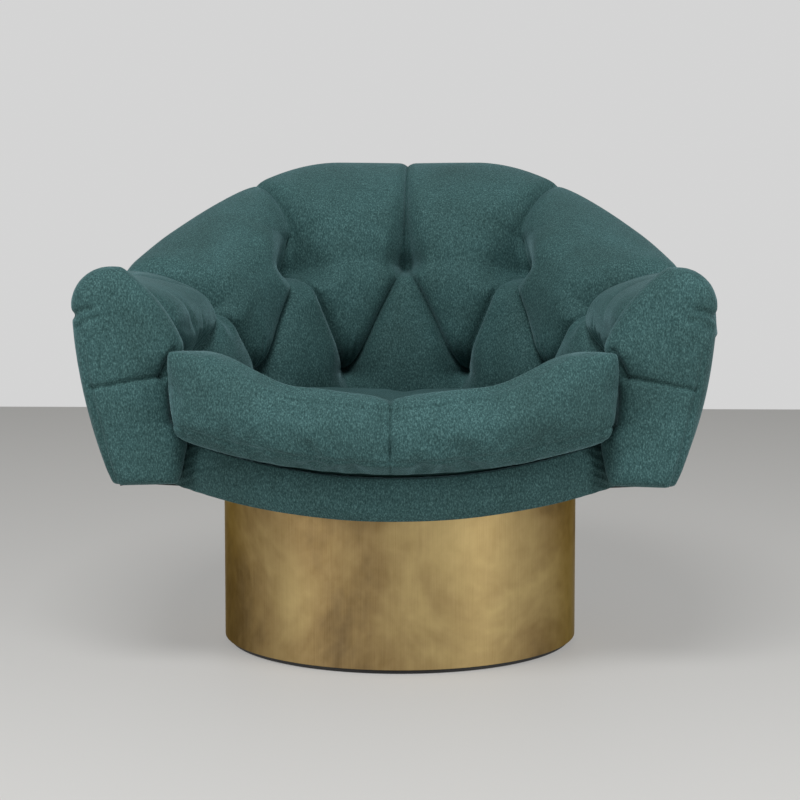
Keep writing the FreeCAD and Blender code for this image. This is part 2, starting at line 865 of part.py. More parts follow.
def make_front_rail():
    pad, gap, thick = size("apron_padding"), size("lay_gap"), size("front_rail_thick")
    wires = []
    for x in across(arm_end()[0] - size("front_rail_end_inset")):
        front, low, high = rail_levels(x)
        box = ((front + pad, low + pad), (front + pad + thick, low + pad))
        box += ((front + pad + thick, high - pad), (front + pad, high - pad))
        corners = [Vector(x, y, z) for y, z in box]
        wires.append(wire_of(corners + corners[:1]))
    loft_feature("front_rail", "front_rail", wires)
    wires = []
    for x in across(apron_half()):
        front, low, high = rail_levels(x)
        rear = front + pad + thick
        upper, lower = Vector(x, front + pad, high), Vector(x, front + pad, low)
        roll = chords(upper, Vector(x, front, blend(low, high, 0.5)), lower, 4)
        wires.append(wire_of([Vector(x, rear, high), upper] + roll + [
            Vector(x, rear, low),
            Vector(x, rear, low + pad - gap),
            Vector(x, front + pad - gap, low + pad - gap),
            Vector(x, front + pad - gap, high - pad + gap),
            Vector(x, rear, high - pad + gap),
            Vector(x, rear, high),
        ]))
    loft_feature("apron", "front_rail_cover", wires)


def seat_edge(run, clearance):
    """Plan line that both rows of pillows leave free for the cushion."""
    upper = row_offset(run, 1) - pillow_swell(run)
    lower = row_offset(run, 2) - low_swell(run)
    return place(run, min(upper, lower) - clearance, 0)


def seat_stations(clearance, reach, count):
    """(x, rear y) of the sections, from the left end of the seat line to the right."""
    runs = [reach * i / count for i in range(-count, count + 1)]
    points = [seat_edge(run, clearance) for run in runs]
    return [(point.x, point.y) for point in points]


def cushion_front():
    return arm_end()[1] + size("cushion_lead")


def cushion_depth():
    return cushion_front() + size("back_radius") + size("low_tuft_offset")


def cushion_low(y):
    """Underside of the cushion on its centre line."""
    share = (y + cushion_front()) / cushion_depth()
    return blend(size("cushion_low_front"), size("cushion_low_rear"), share)


def make_deck():
    """Foam wedge: the plan of the seat space, cut off along the underside of the cushion."""
    low = platform_top + size("lay_gap")
    inset = size("apron_padding") + size("front_rail_thick") + size("bow_gap")
    clearance = size("cushion_gap") + size("deck_side_gap")
    rear = seat_stations(clearance, size("shell_run") * 0.9, 8)
    front = [(x, rail_levels(x)[0] + inset) for x in across(apron_half())[1:-1]]
    plan = [Vector(x, y, low) for x, y in rear + front[::-1]]
    tallest = size("cushion_low_front") + size("cushion_smile") - low
    block = Part.Face(Part.makePolygon(plan + plan[:1])).extrude(Vector(0, 0, tallest))
    reach, near, far = size("back_radius"), -cushion_front(), size("back_radius")
    profile = [
        Vector(-reach, near, low),
        Vector(-reach, far, low),
        Vector(-reach, far, cushion_low(far) - size("lay_gap")),
        Vector(-reach, near, cushion_low(near) - size("lay_gap")),
    ]
    wedge = Part.Face(Part.makePolygon(profile + profile[:1])).extrude(Vector(2 * reach, 0, 0))
    item = doc.addObject("Part::Feature", "deck")
    item.Shape = block.common(wedge)
    keep(item, "seat_deck")


def make_cushion():
    wires = []
    half, depth = arm_end()[0] - size("cushion_corner_inset"), cushion_depth()
    corner_rear = size("cushion_corner_set_back") + size("cushion_corner_depth") - cushion_front()
    stations = seat_stations(size("cushion_gap"), size("shell_run") * 0.96, 7)
    for x, rear in [(-half, corner_rear)] + stations + [(half, corner_rear)]:
        front = bow(x, cushion_front(), half, size("cushion_corner_set_back"))
        share = min(1.0, (rear - front) / depth)
        pinch = size("cushion_pinch") * math.exp(-((x / 22.0) ** 2))
        low = size("cushion_low_front") + smile(x, size("cushion_smile"), half)
        high = size("cushion_high_front") + smile(x, size("cushion_high_smile"), half) - pinch
        low_back = blend(low, size("cushion_low_rear"), share)
        high_back = blend(high, size("cushion_high_rear"), share)
        waist = size("cushion_waist")
        front += pinch
        middle = blend(front, rear, 0.5)
        crown = blend(high, high_back, 0.5) + size("cushion_crown") * share
        start, edge, back = Vector(x, front + 3, low), Vector(x, front + 3, high), Vector(x, rear - 3, high_back)
        outline = [start]
        outline += chords(start, Vector(x, front - waist + 3, blend(low, high, 0.5)), edge, 3)
        outline += chords(edge, Vector(x, middle, crown), back, 3)
        wires.append(wire_of(outline + [Vector(x, rear - 3, low_back), start]))
    loft_feature("cushion", "seat_cushion", wires)


# Plywood platform, swivel board and underside cloth


def platform_outline(height, grow=0.0):
    """Half round at the back, straight down the arms, corners cut back, front along the front rail."""
    half = size("platform_front_half")
    inset = size("apron_padding") + size("front_rail_thick") + 2 * size("bow_gap") - grow
    join = quarter_run()
    offset = size("platform_offset") + grow
    left, right = place(-join, offset, height), place(join, offset, height)
    side = place(size("shell_run") - size("platform_side_lead"), offset, height)
    corner = Vector(half + size("platform_corner_out"), side.y - size("platform_corner_lead") - grow, height)
    return wire_of([
        left,
        (place(0, offset, height), right),
        side,
        corner,
        Vector(half, rail_levels(half)[0] + inset, height),
        (Vector(0, rail_levels(0)[0] + inset, height), Vector(-half, rail_levels(half)[0] + inset, height)),
        Vector(-corner.x, corner.y, height),
        Vector(-side.x, side.y, height),
        left,
    ])


def bolt_spots(height, turn):
    circle = size("plate_bolt_circle") / 2
    angles = [math.radians(turn + 90 * i) for i in range(4)]
    return [Vector(circle * math.cos(a), circle * math.sin(a), height) for a in angles]


def make_platform():
    thick = size("platform_thick")
    board = Part.Face(platform_outline(platform_bottom)).extrude(Vector(0, 0, thick))
    spots = bolt_spots(platform_bottom - 1, 45)
    tools = [Part.makeCylinder(size("nut_clear_dia") / 2, thick + 2, spot) for spot in spots]
    item = doc.addObject("Part::Feature", "platform")
    item.Shape = board.cut(tools)
    keep(item, "seat_platform")
    corner = "Sizes.plate_bolt_circle / 2 / sqrt(2)"
    body = new_body("swivel_board")
    body.Placement = Placement(Vector(0, 0, swivel_top), Rotation())
    outline = new_sketch(body, "swivel_board_outline")
    add_circle(outline, "Sizes.swivel_board_dia / 2")
    add_circle(outline, "Sizes.pivot_clear_dia / 2")
    add_pad(body, outline, "Sizes.swivel_board_thick", "swivel_board_pad")
    doc.recompute()
    drill = new_sketch(body, "swivel_board_drill")
    add_circle(drill, "Sizes.plate_bolt_hole / 2", corner, corner)
    hole = cut_through(body, drill, "swivel_board_drill_cut")
    repeat_round(body, hole, 4, "swivel_board_drill_ring")


def make_underside():
    """Cloth under the rails, from the edge of the platform to the lower edge of the shell."""
    thick, gap = size("underside_thick"), size("lay_gap")
    height = platform_top - thick
    offset = size("outer_low") - size("cover_thick") - size("arm_narrowing") - gap
    join, end = quarter_run(), size("shell_run")
    left, right = place(-join, offset, height), place(join, offset, height)
    tip = place(end, offset, height)
    half = apron_half()
    rear = rail_levels(half)[0] + size("apron_padding") + size("front_rail_thick") + 2 * size("bow_gap")
    mid = place((join + end) / 2, offset, height)
    outline = wire_of([
        left,
        (place(0, offset, height), right),
        (mid, tip),
        Vector(half, rear, height),
        Vector(size("platform_front_half"), rear + 30, height),
        Vector(-size("platform_front_half"), rear + 30, height),
        Vector(-half, rear, height),
        Vector(-tip.x, tip.y, height),
        (Vector(-mid.x, mid.y, height), left),
    ])
    cloth = Part.Face(outline).extrude(Vector(0, 0, thick))
    board = Part.Face(platform_outline(height - 5, gap)).extrude(Vector(0, 0, thick + 10))
    item = doc.addObject("Part::Feature", "underside")
    item.Shape = cloth.cut(board)
    keep(item, "underside_cloth")


make_drum()
make_swivel()
make_platform()
make_underside()
make_frame()
make_skins()
make_tufted_inside()
make_arm_fronts()
make_front_rail()
make_deck()
make_cushion()
doc.recompute()

for item in doc.Objects:
    if "Invalid" in item.State or "Error" in item.State:
        raise RuntimeError("failed object: " + item.Label)
os.makedirs("parts", exist_ok=True)
bad = [
    item.Label
    for item in parts
    if item.Shape.isNull() or not item.Shape.isValid() or item.Shape.Volume <= 0
]
if bad:
    raise RuntimeError("bad shapes: " + ", ".join(bad))
for item in parts:
    shape = item.Shape
    shape.exportStep("parts/%s.step" % item.Label)
print("sub-parts written:", len(parts))
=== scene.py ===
# %% [markdown]
# # A tufted swivel armchair, dressed in plush and brass
# The chair is a barrel shell: one padded band that runs up one arm, round the back and
# down the other arm. Its inside is deeply tufted, a loose cushion lies in it, and the whole
# shell turns on a short drum wrapped in brass. Another program has made the solid parts and
# their joints. Here each soft part gets a finer mesh of its own in the same place, and
# every part gets a finish. All lengths are metres, Z is up and the sitter faces -Y.

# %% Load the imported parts
import json
import math

import bmesh
import bpy
import numpy as np
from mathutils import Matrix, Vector

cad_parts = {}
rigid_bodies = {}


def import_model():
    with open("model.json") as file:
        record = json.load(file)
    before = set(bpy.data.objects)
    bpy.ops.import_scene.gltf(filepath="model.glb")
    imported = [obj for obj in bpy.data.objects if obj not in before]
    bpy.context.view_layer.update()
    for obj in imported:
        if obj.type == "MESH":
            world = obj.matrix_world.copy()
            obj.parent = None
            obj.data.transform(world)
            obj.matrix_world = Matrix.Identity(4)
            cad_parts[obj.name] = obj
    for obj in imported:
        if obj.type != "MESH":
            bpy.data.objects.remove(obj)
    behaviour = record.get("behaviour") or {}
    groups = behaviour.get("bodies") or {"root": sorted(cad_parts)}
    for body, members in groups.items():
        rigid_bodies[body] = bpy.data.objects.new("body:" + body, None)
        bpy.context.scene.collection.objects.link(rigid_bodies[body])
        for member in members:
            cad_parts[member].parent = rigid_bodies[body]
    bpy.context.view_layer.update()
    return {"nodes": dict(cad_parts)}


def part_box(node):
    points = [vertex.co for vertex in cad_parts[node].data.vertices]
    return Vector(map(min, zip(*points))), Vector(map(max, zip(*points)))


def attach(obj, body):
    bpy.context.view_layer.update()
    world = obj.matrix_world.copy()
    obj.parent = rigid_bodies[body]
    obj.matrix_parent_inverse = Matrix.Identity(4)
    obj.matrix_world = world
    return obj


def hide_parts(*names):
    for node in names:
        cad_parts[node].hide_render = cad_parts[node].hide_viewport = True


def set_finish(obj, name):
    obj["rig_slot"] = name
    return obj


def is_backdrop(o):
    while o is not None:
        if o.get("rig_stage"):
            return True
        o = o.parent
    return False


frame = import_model()

# %% [markdown]
# ## The camera
# The picture shows the front of the chair a little from above. The floor line and the two
# ellipses of the drum fix the lens: the nearer a camera stands, the rounder a low circle
# looks. That gives a camera three metres away at the height of the back, with a long lens,
# turned down a few degrees. The drum's sides look parallel, so the lens is also shifted down
# a little. The camera comes first, so every later piece can be compared.

# %% Camera
CAMERA_DISTANCE = 3.067
CAMERA_HEIGHT = 0.687
CAMERA_TURN = math.radians(1.8)
AIM_HEIGHT = 0.4014
LENS = 96.0
LENS_SHIFT = -0.05


def make_camera():
    data = bpy.data.cameras.new("front_camera")
    data.lens, data.sensor_width, data.shift_y = LENS, 36.0, LENS_SHIFT
    camera = bpy.data.objects.new("front_camera", data)
    bpy.context.scene.collection.objects.link(camera)
    bpy.context.scene.camera = camera
    sideways, ahead = math.sin(CAMERA_TURN), math.cos(CAMERA_TURN)
    camera.location = (CAMERA_DISTANCE * sideways, -CAMERA_DISTANCE * ahead, CAMERA_HEIGHT)
    aim = Vector((0, 0, AIM_HEIGHT)) - camera.location
    camera.rotation_euler = aim.to_track_quat("-Z", "Y").to_euler()
    return camera


camera = make_camera()
print("camera at", [round(x, 3) for x in camera.location], "lens", LENS, "mm")

# %% [markdown]
# ## The room
# A studio wall and a floor could be two planes, but a wall behind the chair would hide it
# from the back. So the world itself is the pale wall, seen by the camera and in the gloss
# of the brass, and the floor is one wide plane that ends where the wall would stand. The
# floor keeps a soft shadow of the chair, but half of the floor glows, which paints light
# into it and weakens that shadow, and its colour is painted darker towards the back and
# lighter towards the front. Three broad lamps and the even light of the world do what a
# studio's soft boxes do.

# %% Floor, wall colour and lamps
WALL_TONE, WORLD_LIGHT = 0.66, 0.27
# Painted light and shade: the floor's colour is darker at the back and lighter at the front, as if light fell
# off with distance.
FLOOR_FAR_SHADED_TONE, FLOOR_NEAR_LIT_TONE = (0.40, 0.395, 0.38, 1), (0.62, 0.615, 0.60, 1)
FLOOR_BACK = 2.86
bpy.context.scene.view_settings.view_transform = "Standard"


def add_node(tree, kind, inputs=None, **settings):
    """A node with the given settings and the given values on its unlinked inputs."""
    node = tree.nodes.new(kind)
    for name, value in settings.items():
        setattr(node, name, value)
    for name, value in (inputs or {}).items():
        node.inputs[name].default_value = value
    return node


def join(tree, *pairs):
    """Links each output to its input."""
    for source, target in pairs:
        tree.links.new(source, target)


def make_world():
    world = bpy.data.worlds.new("studio")
    bpy.context.scene.world = world
    world.use_nodes = True
    tree = world.node_tree
    tree.nodes.clear()
    path = add_node(tree, "ShaderNodeLightPath")
    seen = add_node(tree, "ShaderNodeMath", operation="MAXIMUM")
    also = add_node(tree, "ShaderNodeMath", operation="MAXIMUM")
    join(
        tree,
        (path.outputs["Is Camera Ray"], seen.inputs[0]),
        (path.outputs["Is Glossy Ray"], seen.inputs[1]),
        (seen.outputs[0], also.inputs[0]),
        (path.outputs["Is Transmission Ray"], also.inputs[1]),
    )
    light = add_node(tree, "ShaderNodeBackground", {"Color": (0.97, 0.98, 1, 1), "Strength": WORLD_LIGHT})
    wall = add_node(tree, "ShaderNodeBackground", {"Color": (WALL_TONE,) * 3 + (1,), "Strength": 1})
    mix = add_node(tree, "ShaderNodeMixShader")
    out = add_node(tree, "ShaderNodeOutputWorld")
    join(
        tree,
        (also.outputs[0], mix.inputs[0]),
        (light.outputs[0], mix.inputs[1]),
        (wall.outputs[0], mix.inputs[2]),
        (mix.outputs[0], out.inputs[0]),
    )


def make_floor():
    mesh = bpy.data.meshes.new("studio_floor")
    wide, front = 14.0, -16.0
    mesh.from_pydata(
        [(-wide, front, 0), (wide, front, 0), (wide, FLOOR_BACK, 0), (-wide, FLOOR_BACK, 0)],
        [],
        [(0, 1, 2, 3)],
    )
    floor = bpy.data.objects.new("studio_floor", mesh)
    bpy.context.scene.collection.objects.link(floor)
    floor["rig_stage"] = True
    paint = bpy.data.materials.new("pale_floor")
    paint.use_nodes = True
    tree = paint.node_tree
    shader = tree.nodes["Principled BSDF"]
    shader.inputs["Roughness"].default_value = 0.55
    place_on = add_node(tree, "ShaderNodeTexCoord")
    split = add_node(tree, "ShaderNodeSeparateXYZ")
    # Painted light and shade: the floor's tone runs from darker at the back to lighter at the front.
    nearer = add_node(tree, "ShaderNodeMapRange", {"From Min": FLOOR_BACK, "From Max": -1.2})
    tone = add_node(tree, "ShaderNodeValToRGB")
    tone.color_ramp.elements[0].color = FLOOR_FAR_SHADED_TONE
    tone.color_ramp.elements[1].color = FLOOR_NEAR_LIT_TONE
    # Painted light: half of the floor glows in its own tone, so the chair's shadow on it is weaker.
    painted_glow = add_node(tree, "ShaderNodeEmission")
    share = add_node(tree, "ShaderNodeMixShader", {0: 0.5})
    out = next(node for node in tree.nodes if node.bl_idname == "ShaderNodeOutputMaterial")
    join(
        tree,
        (place_on.outputs["Object"], split.inputs[0]),
        (split.outputs["Y"], nearer.inputs[0]),
        (nearer.outputs[0], tone.inputs[0]),
        (tone.outputs[0], shader.inputs["Base Color"]),
        (tone.outputs[0], painted_glow.inputs["Color"]),
        (shader.outputs[0], share.inputs[1]),
        (painted_glow.outputs[0], share.inputs[2]),
        (share.outputs[0], out.inputs["Surface"]),
    )
    mesh.materials.append(paint)


def make_lamp(name, spot, aim, width, watts):
    data = bpy.data.lights.new(name, "AREA")
    data.shape, data.size, data.size_y, data.energy = "RECTANGLE", width, width * 0.7, watts
    lamp = bpy.data.objects.new(name, data)
    bpy.context.scene.collection.objects.link(lamp)
    lamp.location = spot
    lamp.rotation_euler = (Vector(aim) - Vector(spot)).to_track_quat("-Z", "Y").to_euler()
    lamp.visible_camera = False


make_world()
make_floor()
make_lamp("left_lamp", (-2.4, -1.9, 0.9), (0, 0, 0.25), 0.9, 24)
make_lamp("right_lamp", (2.4, -1.8, 0.9), (0, 0, 0.25), 0.9, 29)
make_lamp("high_lamp", (-0.3, -2.0, 3.0), (0, 0, 0.4), 1.4, 80)
print("floor ends at", FLOOR_BACK, "m behind the chair")

# %% [markdown]
# ## A line to build along
# Back and arms are one band, so one plan line describes them: a half circle round the back
# and a long shallow arc down each arm, under the crest of the padding. A place on the band
# is then run (how far along the line from the middle of the back), offset (how far outside
# the line) and height. Tufts sit at even runs, so they are easy to put down. NumPy works on
# whole grids of such places at once.

# %% The ridge line
BACK_RADIUS, ARM_RADIUS = 0.383, 1.600
SHELL_RUN = 0.885
QUARTER_RUN = math.pi / 2 * BACK_RADIUS
ARM_TOP, BACK_TOP = 0.549, 0.685
RISE_BEGINS, RISE_ENDS = 0.544, 0.107
SHELL_BOTTOM = 0.262
OUTER_LOW, OUTER_WIDE = 0.017, 0.062
ARM_NARROWING = 0.005
ROLL_DEPTH = 0.094


def ridge(run):
    """Plan points of the ridge line and the outward directions there, for an array of runs."""
    side, far = np.where(run < 0, -1.0, 1.0), np.abs(run)
    around = np.minimum(far, QUARTER_RUN) / BACK_RADIUS
    ahead = np.maximum(far - QUARTER_RUN, 0) / ARM_RADIUS
    on_back = far <= QUARTER_RUN
    x = np.where(on_back, BACK_RADIUS * np.sin(around), BACK_RADIUS - ARM_RADIUS * (1 - np.cos(ahead)))
    y = np.where(on_back, BACK_RADIUS * np.cos(around), -ARM_RADIUS * np.sin(ahead))
    out_x = np.where(on_back, np.sin(around), np.cos(ahead))
    out_y = np.where(on_back, np.cos(around), -np.sin(ahead))
    return side * x, y, side * out_x, out_y


def place(run, offset, height):
    """Points in the room for arrays of run, offset and height."""
    run, offset, height = np.broadcast_arrays(run, offset, height)
    x, y, out_x, out_y = ridge(run)
    return np.stack([x + out_x * offset, y + out_y * offset, height], axis=-1)


def ease(value):
    """Smooth step from 0 to 1."""
    t = np.clip(value, 0, 1)
    return t * t * (3 - 2 * t)


def blend(low, high, share):
    return low + (high - low) * share


def ridge_height(run):
    return blend(ARM_TOP, BACK_TOP, ease((RISE_BEGINS - np.abs(run)) / (RISE_BEGINS - RISE_ENDS)))


def seam_height(run):
    return ridge_height(run) - ROLL_DEPTH


def armward(run):
    """0 round the back, 1 at the front end of an arm."""
    return ease((np.abs(run) - QUARTER_RUN) / (SHELL_RUN - QUARTER_RUN))


def outer_offset(run, height):
    """Outside face of the shell, which leans out as it rises."""
    share = np.clip((height - SHELL_BOTTOM) / (ARM_TOP - ROLL_DEPTH / 2 - SHELL_BOTTOM), 0, 1)
    swell = 1 - (1 - share) ** 2
    return blend(OUTER_LOW, OUTER_WIDE, swell) - ARM_NARROWING * armward(run) * (1 - share)


print("half width of the shell:", round(float(place(QUARTER_RUN, OUTER_WIDE, 0.5)[0]), 3), "m")

# %% [markdown]
# ## From grids to meshes
# Most soft pieces here are lofts: a closed ring of points that changes from station to
# station. Blender's modifiers could skin a few curves, but a grid worked out in NumPy keeps
# every fold under control. Each loft is closed at its ends, so it is a solid like the pad
# that it stands for. Small grooves and folds are moves of the points, made last.

# %% Mesh helpers


def new_piece(name, points, faces):
    """An object from points and faces, smooth shaded, with its faces turned outwards."""
    mesh = bpy.data.meshes.new(name)
    mesh.from_pydata([tuple(p) for p in points], [], faces)
    build = bmesh.new()
    build.from_mesh(mesh)
    bmesh.ops.recalc_face_normals(build, faces=build.faces)
    build.to_mesh(mesh)
    build.free()
    mesh.shade_smooth()
    piece = bpy.data.objects.new(name, mesh)
    bpy.context.scene.collection.objects.link(piece)
    return piece


def loft(name, rings):
    """A closed skin over an array of rings, (station, point, 3), with a flat cap on each end."""
    stations, count = rings.shape[:2]
    here = np.arange(stations - 1)[:, None] * count + np.arange(count)[None, :]
    beside = np.arange(stations - 1)[:, None] * count + (np.arange(count)[None, :] + 1) % count
    quads = np.stack([here, beside, beside + count, here + count], axis=-1).reshape(-1, 4)
    caps = [tuple(range(count)), tuple(range((stations - 1) * count, stations * count))]
    return new_piece(name, rings.reshape(-1, 3), [tuple(q) for q in quads.tolist()] + caps)


def arc(start, middle, end, count):
    """Points on the circle through three flat points, from the first to the last."""
    (ax, ay), (bx, by), (cx, cy) = start, middle, end
    d = 2 * (ax * (by - cy) + bx * (cy - ay) + cx * (ay - by))
    if abs(d) < 1e-9:
        return [(blend(ax, cx, i / count), blend(ay, cy, i / count)) for i in range(count + 1)]
    sa, sb, sc = ax * ax + ay * ay, bx * bx + by * by, cx * cx + cy * cy
    ux = (sa * (by - cy) + sb * (cy - ay) + sc * (ay - by)) / d
    uy = (sa * (cx - bx) + sb * (ax - cx) + sc * (bx - ax)) / d
    radius = math.hypot(ax - ux, ay - uy)
    first = math.atan2(ay - uy, ax - ux)
    via = (math.atan2(by - uy, bx - ux) - first) % (2 * math.pi)
    span = (math.atan2(cy - uy, cx - ux) - first) % (2 * math.pi)
    if via > span:
        span -= 2 * math.pi
    turns = [first + span * i / count for i in range(count + 1)]
    return [(ux + radius * math.cos(t), uy + radius * math.sin(t)) for t in turns]


def with_modifiers(piece):
    """The piece with its modifiers worked into its mesh."""
    seen = piece.evaluated_get(bpy.context.evaluated_depsgraph_get())
    piece.data = bpy.data.meshes.new_from_object(seen)
    piece.modifiers.clear()
    piece.data.shade_smooth()
    return piece


def remesh(piece, voxel):
    """Even small faces all over, so that folds can be pressed in anywhere."""
    step = piece.modifiers.new("even_faces", "REMESH")
    step.mode, step.voxel_size, step.use_smooth_shade = "VOXEL", voxel, True
    return with_modifiers(piece)


def subdivide(piece, levels=1):
    step = piece.modifiers.new("finer", "SUBSURF")
    step.levels = step.render_levels = levels
    return with_modifiers(piece)


def points_of(piece):
    flat = np.empty(len(piece.data.vertices) * 3, np.float32)
    piece.data.vertices.foreach_get("co", flat)
    return flat.reshape(-1, 3).astype(float)


def normals_of(piece):
    flat = np.empty(len(piece.data.vertices) * 3, np.float32)
    piece.data.vertex_normals.foreach_get("vector", flat)
    return flat.reshape(-1, 3).astype(float)


def move_points(piece, points):
    piece.data.vertices.foreach_set("co", points.astype(np.float32).ravel())
    piece.data.update()


print("mesh helpers ready")

# %% [markdown]
# ## The tufted inside
# The upholsterer lays thick padding over the frame and pulls the cloth into it at two rows
# of tufts. The spare cloth folds into pleats: straight up over the crest from each upper
# tuft, slanting from row to row, and straight down from the lower row. Between the pleats
# the padding swells up. A cloth simulation could pin the tufts, but its pleats wander. Here
# the smooth swollen surface is made first, as a spline through eight places of the profile.
# Then every pleat presses a valley into it, deepest at the tufts.

# %% Tuft rows and the swollen surface
TUFT_PITCH = 0.260


def row_height(run, row):
    far = np.abs(run)
    if row == 1:
        return blend(0.455, 0.535, ease((0.680 - far) / 0.400))
    return blend(0.405, 0.360, ease((0.680 - far) / 0.300))


def row_offset(run, row):
    far = np.abs(run)
    if row == 1:
        return blend(-0.098, -0.070, ease((far - 2 * TUFT_PITCH) / TUFT_PITCH))
    return blend(-0.140, -0.062, ease((far - 1.35 * TUFT_PITCH) / (2.3 * TUFT_PITCH)))


def foot_height(run):
    return blend(0.2623, 0.322, ease((np.abs(run) - (SHELL_RUN - 0.230)) / 0.110))


def swollen_profile(run):
    """Offsets and heights that the full padding passes, from the outer seam to its foot."""
    far = np.abs(run)
    crest, seam, arm = ridge_height(run), seam_height(run), armward(run)
    crest = crest - 0.012 * ease((far - 0.40) / 0.14) - 0.010 * ease((far - 0.48) / 0.12)
    end = ease((far - 0.74) / 0.13)
    first = blend(row_offset(run, 1) - blend(0.030, 0.013, arm), -0.072, end)
    first_high = row_height(run, 1)
    low = row_offset(run, 2) - blend(0.018, 0.005, ease((np.abs(run) - 0.650) / TUFT_PITCH))
    low_high = row_height(run, 2)
    middle = (row_offset(run, 1) + row_offset(run, 2)) / 2 - blend(0.024, 0.007, arm)
    low, middle = blend(low, -0.058, end), blend(middle, -0.062, end)
    shoulder = blend(0.62 * first - 0.012, -0.040, end)
    wide = OUTER_WIDE - 0.003 * end
    offsets = [wide, wide * 0.86, wide * 0.28, shoulder, first, middle, low, low + 0.008]
    heights = [seam, blend(crest, seam, 0.3), crest + 0.020 * end, blend(crest, first_high, 0.38)]
    heights += [first_high, (first_high + low_high) / 2, low_high, foot_height(run)]
    return np.stack([np.stack(offsets, -1), np.stack(heights, -1)], -1)


def spline(knots, count):
    """Evenly spaced points on smooth curves through the knots, an array (curve, knot, 2)."""
    gaps = np.sqrt(np.linalg.norm(np.diff(knots, axis=1), axis=-1))
    when = np.concatenate([np.zeros((len(knots), 1)), np.cumsum(gaps, axis=1)], axis=1)
    slope = np.empty_like(knots)
    step = np.diff(knots, axis=1) / gaps[..., None]
    a, b = gaps[:, :-1, None], gaps[:, 1:, None]
    slope[:, 1:-1] = (step[:, :-1] * b + step[:, 1:] * a) / (a + b)
    slope[:, 0], slope[:, -1] = step[:, 0], step[:, -1]
    fine = 24
    shares = np.linspace(0, 1, fine, endpoint=False)[None, None, :, None]
    h, p, q = gaps[:, :, None, None], knots[:, :-1, None], knots[:, 1:, None]
    m, n = slope[:, :-1, None] * h, slope[:, 1:, None] * h
    s2, s3 = shares**2, shares**3
    curve = (
        p * (2 * s3 - 3 * s2 + 1) + m * (s3 - 2 * s2 + shares)
        + q * (3 * s2 - 2 * s3) + n * (s3 - s2)
    )
    curve = np.concatenate([curve.reshape(len(knots), -1, knots.shape[-1]), knots[:, -1:]], axis=1)
    steps = np.linalg.norm(np.diff(curve, axis=1), axis=-1)
    length = np.concatenate([np.zeros((len(knots), 1)), np.cumsum(steps, axis=1)], axis=1)
    even = np.empty((len(knots), count, knots.shape[-1]))
    for i in range(len(knots)):
        stops = np.linspace(0, length[i, -1], count)
        for j in range(knots.shape[-1]):
            even[i, :, j] = np.interp(stops, length[i], curve[i, :, j])
    return even


COLUMNS_PER_HALF_PITCH = 52
PROFILE_POINTS = 250
column_step = TUFT_PITCH / 2 / COLUMNS_PER_HALF_PITCH
columns = round(SHELL_RUN / column_step)
runs = np.linspace(-SHELL_RUN, SHELL_RUN, 2 * columns + 1)
profile = spline(swollen_profile(runs), PROFILE_POINTS)
swollen = place(runs[:, None], profile[..., 0], profile[..., 1])
print("swollen surface:", swollen.shape[0], "columns of", swollen.shape[1], "points")

# %% [markdown]
# ### Pleats and tufts
# Each pleat is a line from tuft to tuft. Across it the valley has the round shoulders of
# two stuffed pillows that meet: steep in the fold and flat a hand's breadth away. Where
# valleys meet, the deeper one wins, with a soft maximum. A tuft is a small deep pit, and
# the tight cloth round it throws a few short folds.

# %% Press the pleats in


def squeeze(run):
    """The inside of the curved back is shorter than the ridge line by this factor."""
    return blend(0.70, 0.97, ease((np.abs(run) - 0.40) / 0.30))


def along_line(run, height, line):
    """How far each place is from the line, and how far along the line it lies."""
    (x0, z0), (x1, z1) = line
    scale = squeeze((x0 + x1) / 2)
    dx, dz = (x1 - x0) * scale, z1 - z0
    x, z = (run - x0) * scale, height - z0
    along = np.clip((x * dx + z * dz) / (dx * dx + dz * dz), 0, 1)
    return np.hypot(x - dx * along, z - dz * along), along


def hollow(place_on_line, depths, slots, flanks, swell=0.0, reach=0.085):
    """A broad soft valley. Depth, half width of the floor and width of the flank are given at
    the start, the middle and the end of the line."""
    aside, along = place_on_line
    depth, slot, flank = (np.interp(along, (0, 0.5, 1), values) for values in (depths, slots, flanks))
    broad = swell * np.interp(along, (0, 0.5, 1), (0.25, 1, 1))
    near = np.clip((aside - slot) / flank, 0, 1)
    return depth * (1 - near) ** 2 + broad * np.clip(1 - aside / reach, 0, 1) ** 2


def crease(place_on_line, depths, width):
    """A narrow fold with steep rounded lips, where the cloth of two pillows meets."""
    aside, along = place_on_line
    near = 1 - np.clip(aside / width, 0, 1)
    return np.interp(along, (0, 0.5, 1), depths) * (1 - np.sqrt(1 - near**2.2 + 1e-9))


def tuft_spots(row):
    start = 0.0 if row == 1 else 0.5
    found = [(k + start) * TUFT_PITCH for k in range(-4, 4)]
    if row == 1:
        found = [run - 0.020 * math.sin(math.pi * run / (2 * TUFT_PITCH)) for run in found]
    found = [run for run in found if abs(run) < SHELL_RUN - 0.05]
    return [(run, float(row_height(run, row))) for run in found]


# Depth, floor and flank of the upright pleats over the upper tufts, counted from the middle one
UPRIGHT = (
    ((0.004, 0.018, 0.036), (0.0004, 0.002, 0.008), (0.008, 0.026, 0.032)),
    ((0.006, 0.040, 0.052), (0.0004, 0.007, 0.013), (0.014, 0.060, 0.060)),
    ((0.006, 0.030, 0.036), (0.0004, 0.004, 0.008), (0.018, 0.052, 0.056)),
    ((0.006, 0.016, 0.018), (0.0004, 0.002, 0.004), (0.018, 0.030, 0.034)),
)
UPRIGHT_SWELL = (0.007, 0.012, 0.012, 0.007)
UPRIGHT_CREASE = ((0.006, 0.011, 0.006), (0.006, 0.010, 0.006), (0.007, 0.009, 0.005), (0.007, 0.008, 0.005))
UPRIGHT_CREASE_WIDTH, SLANT_CREASE_WIDTH = 0.011, 0.009
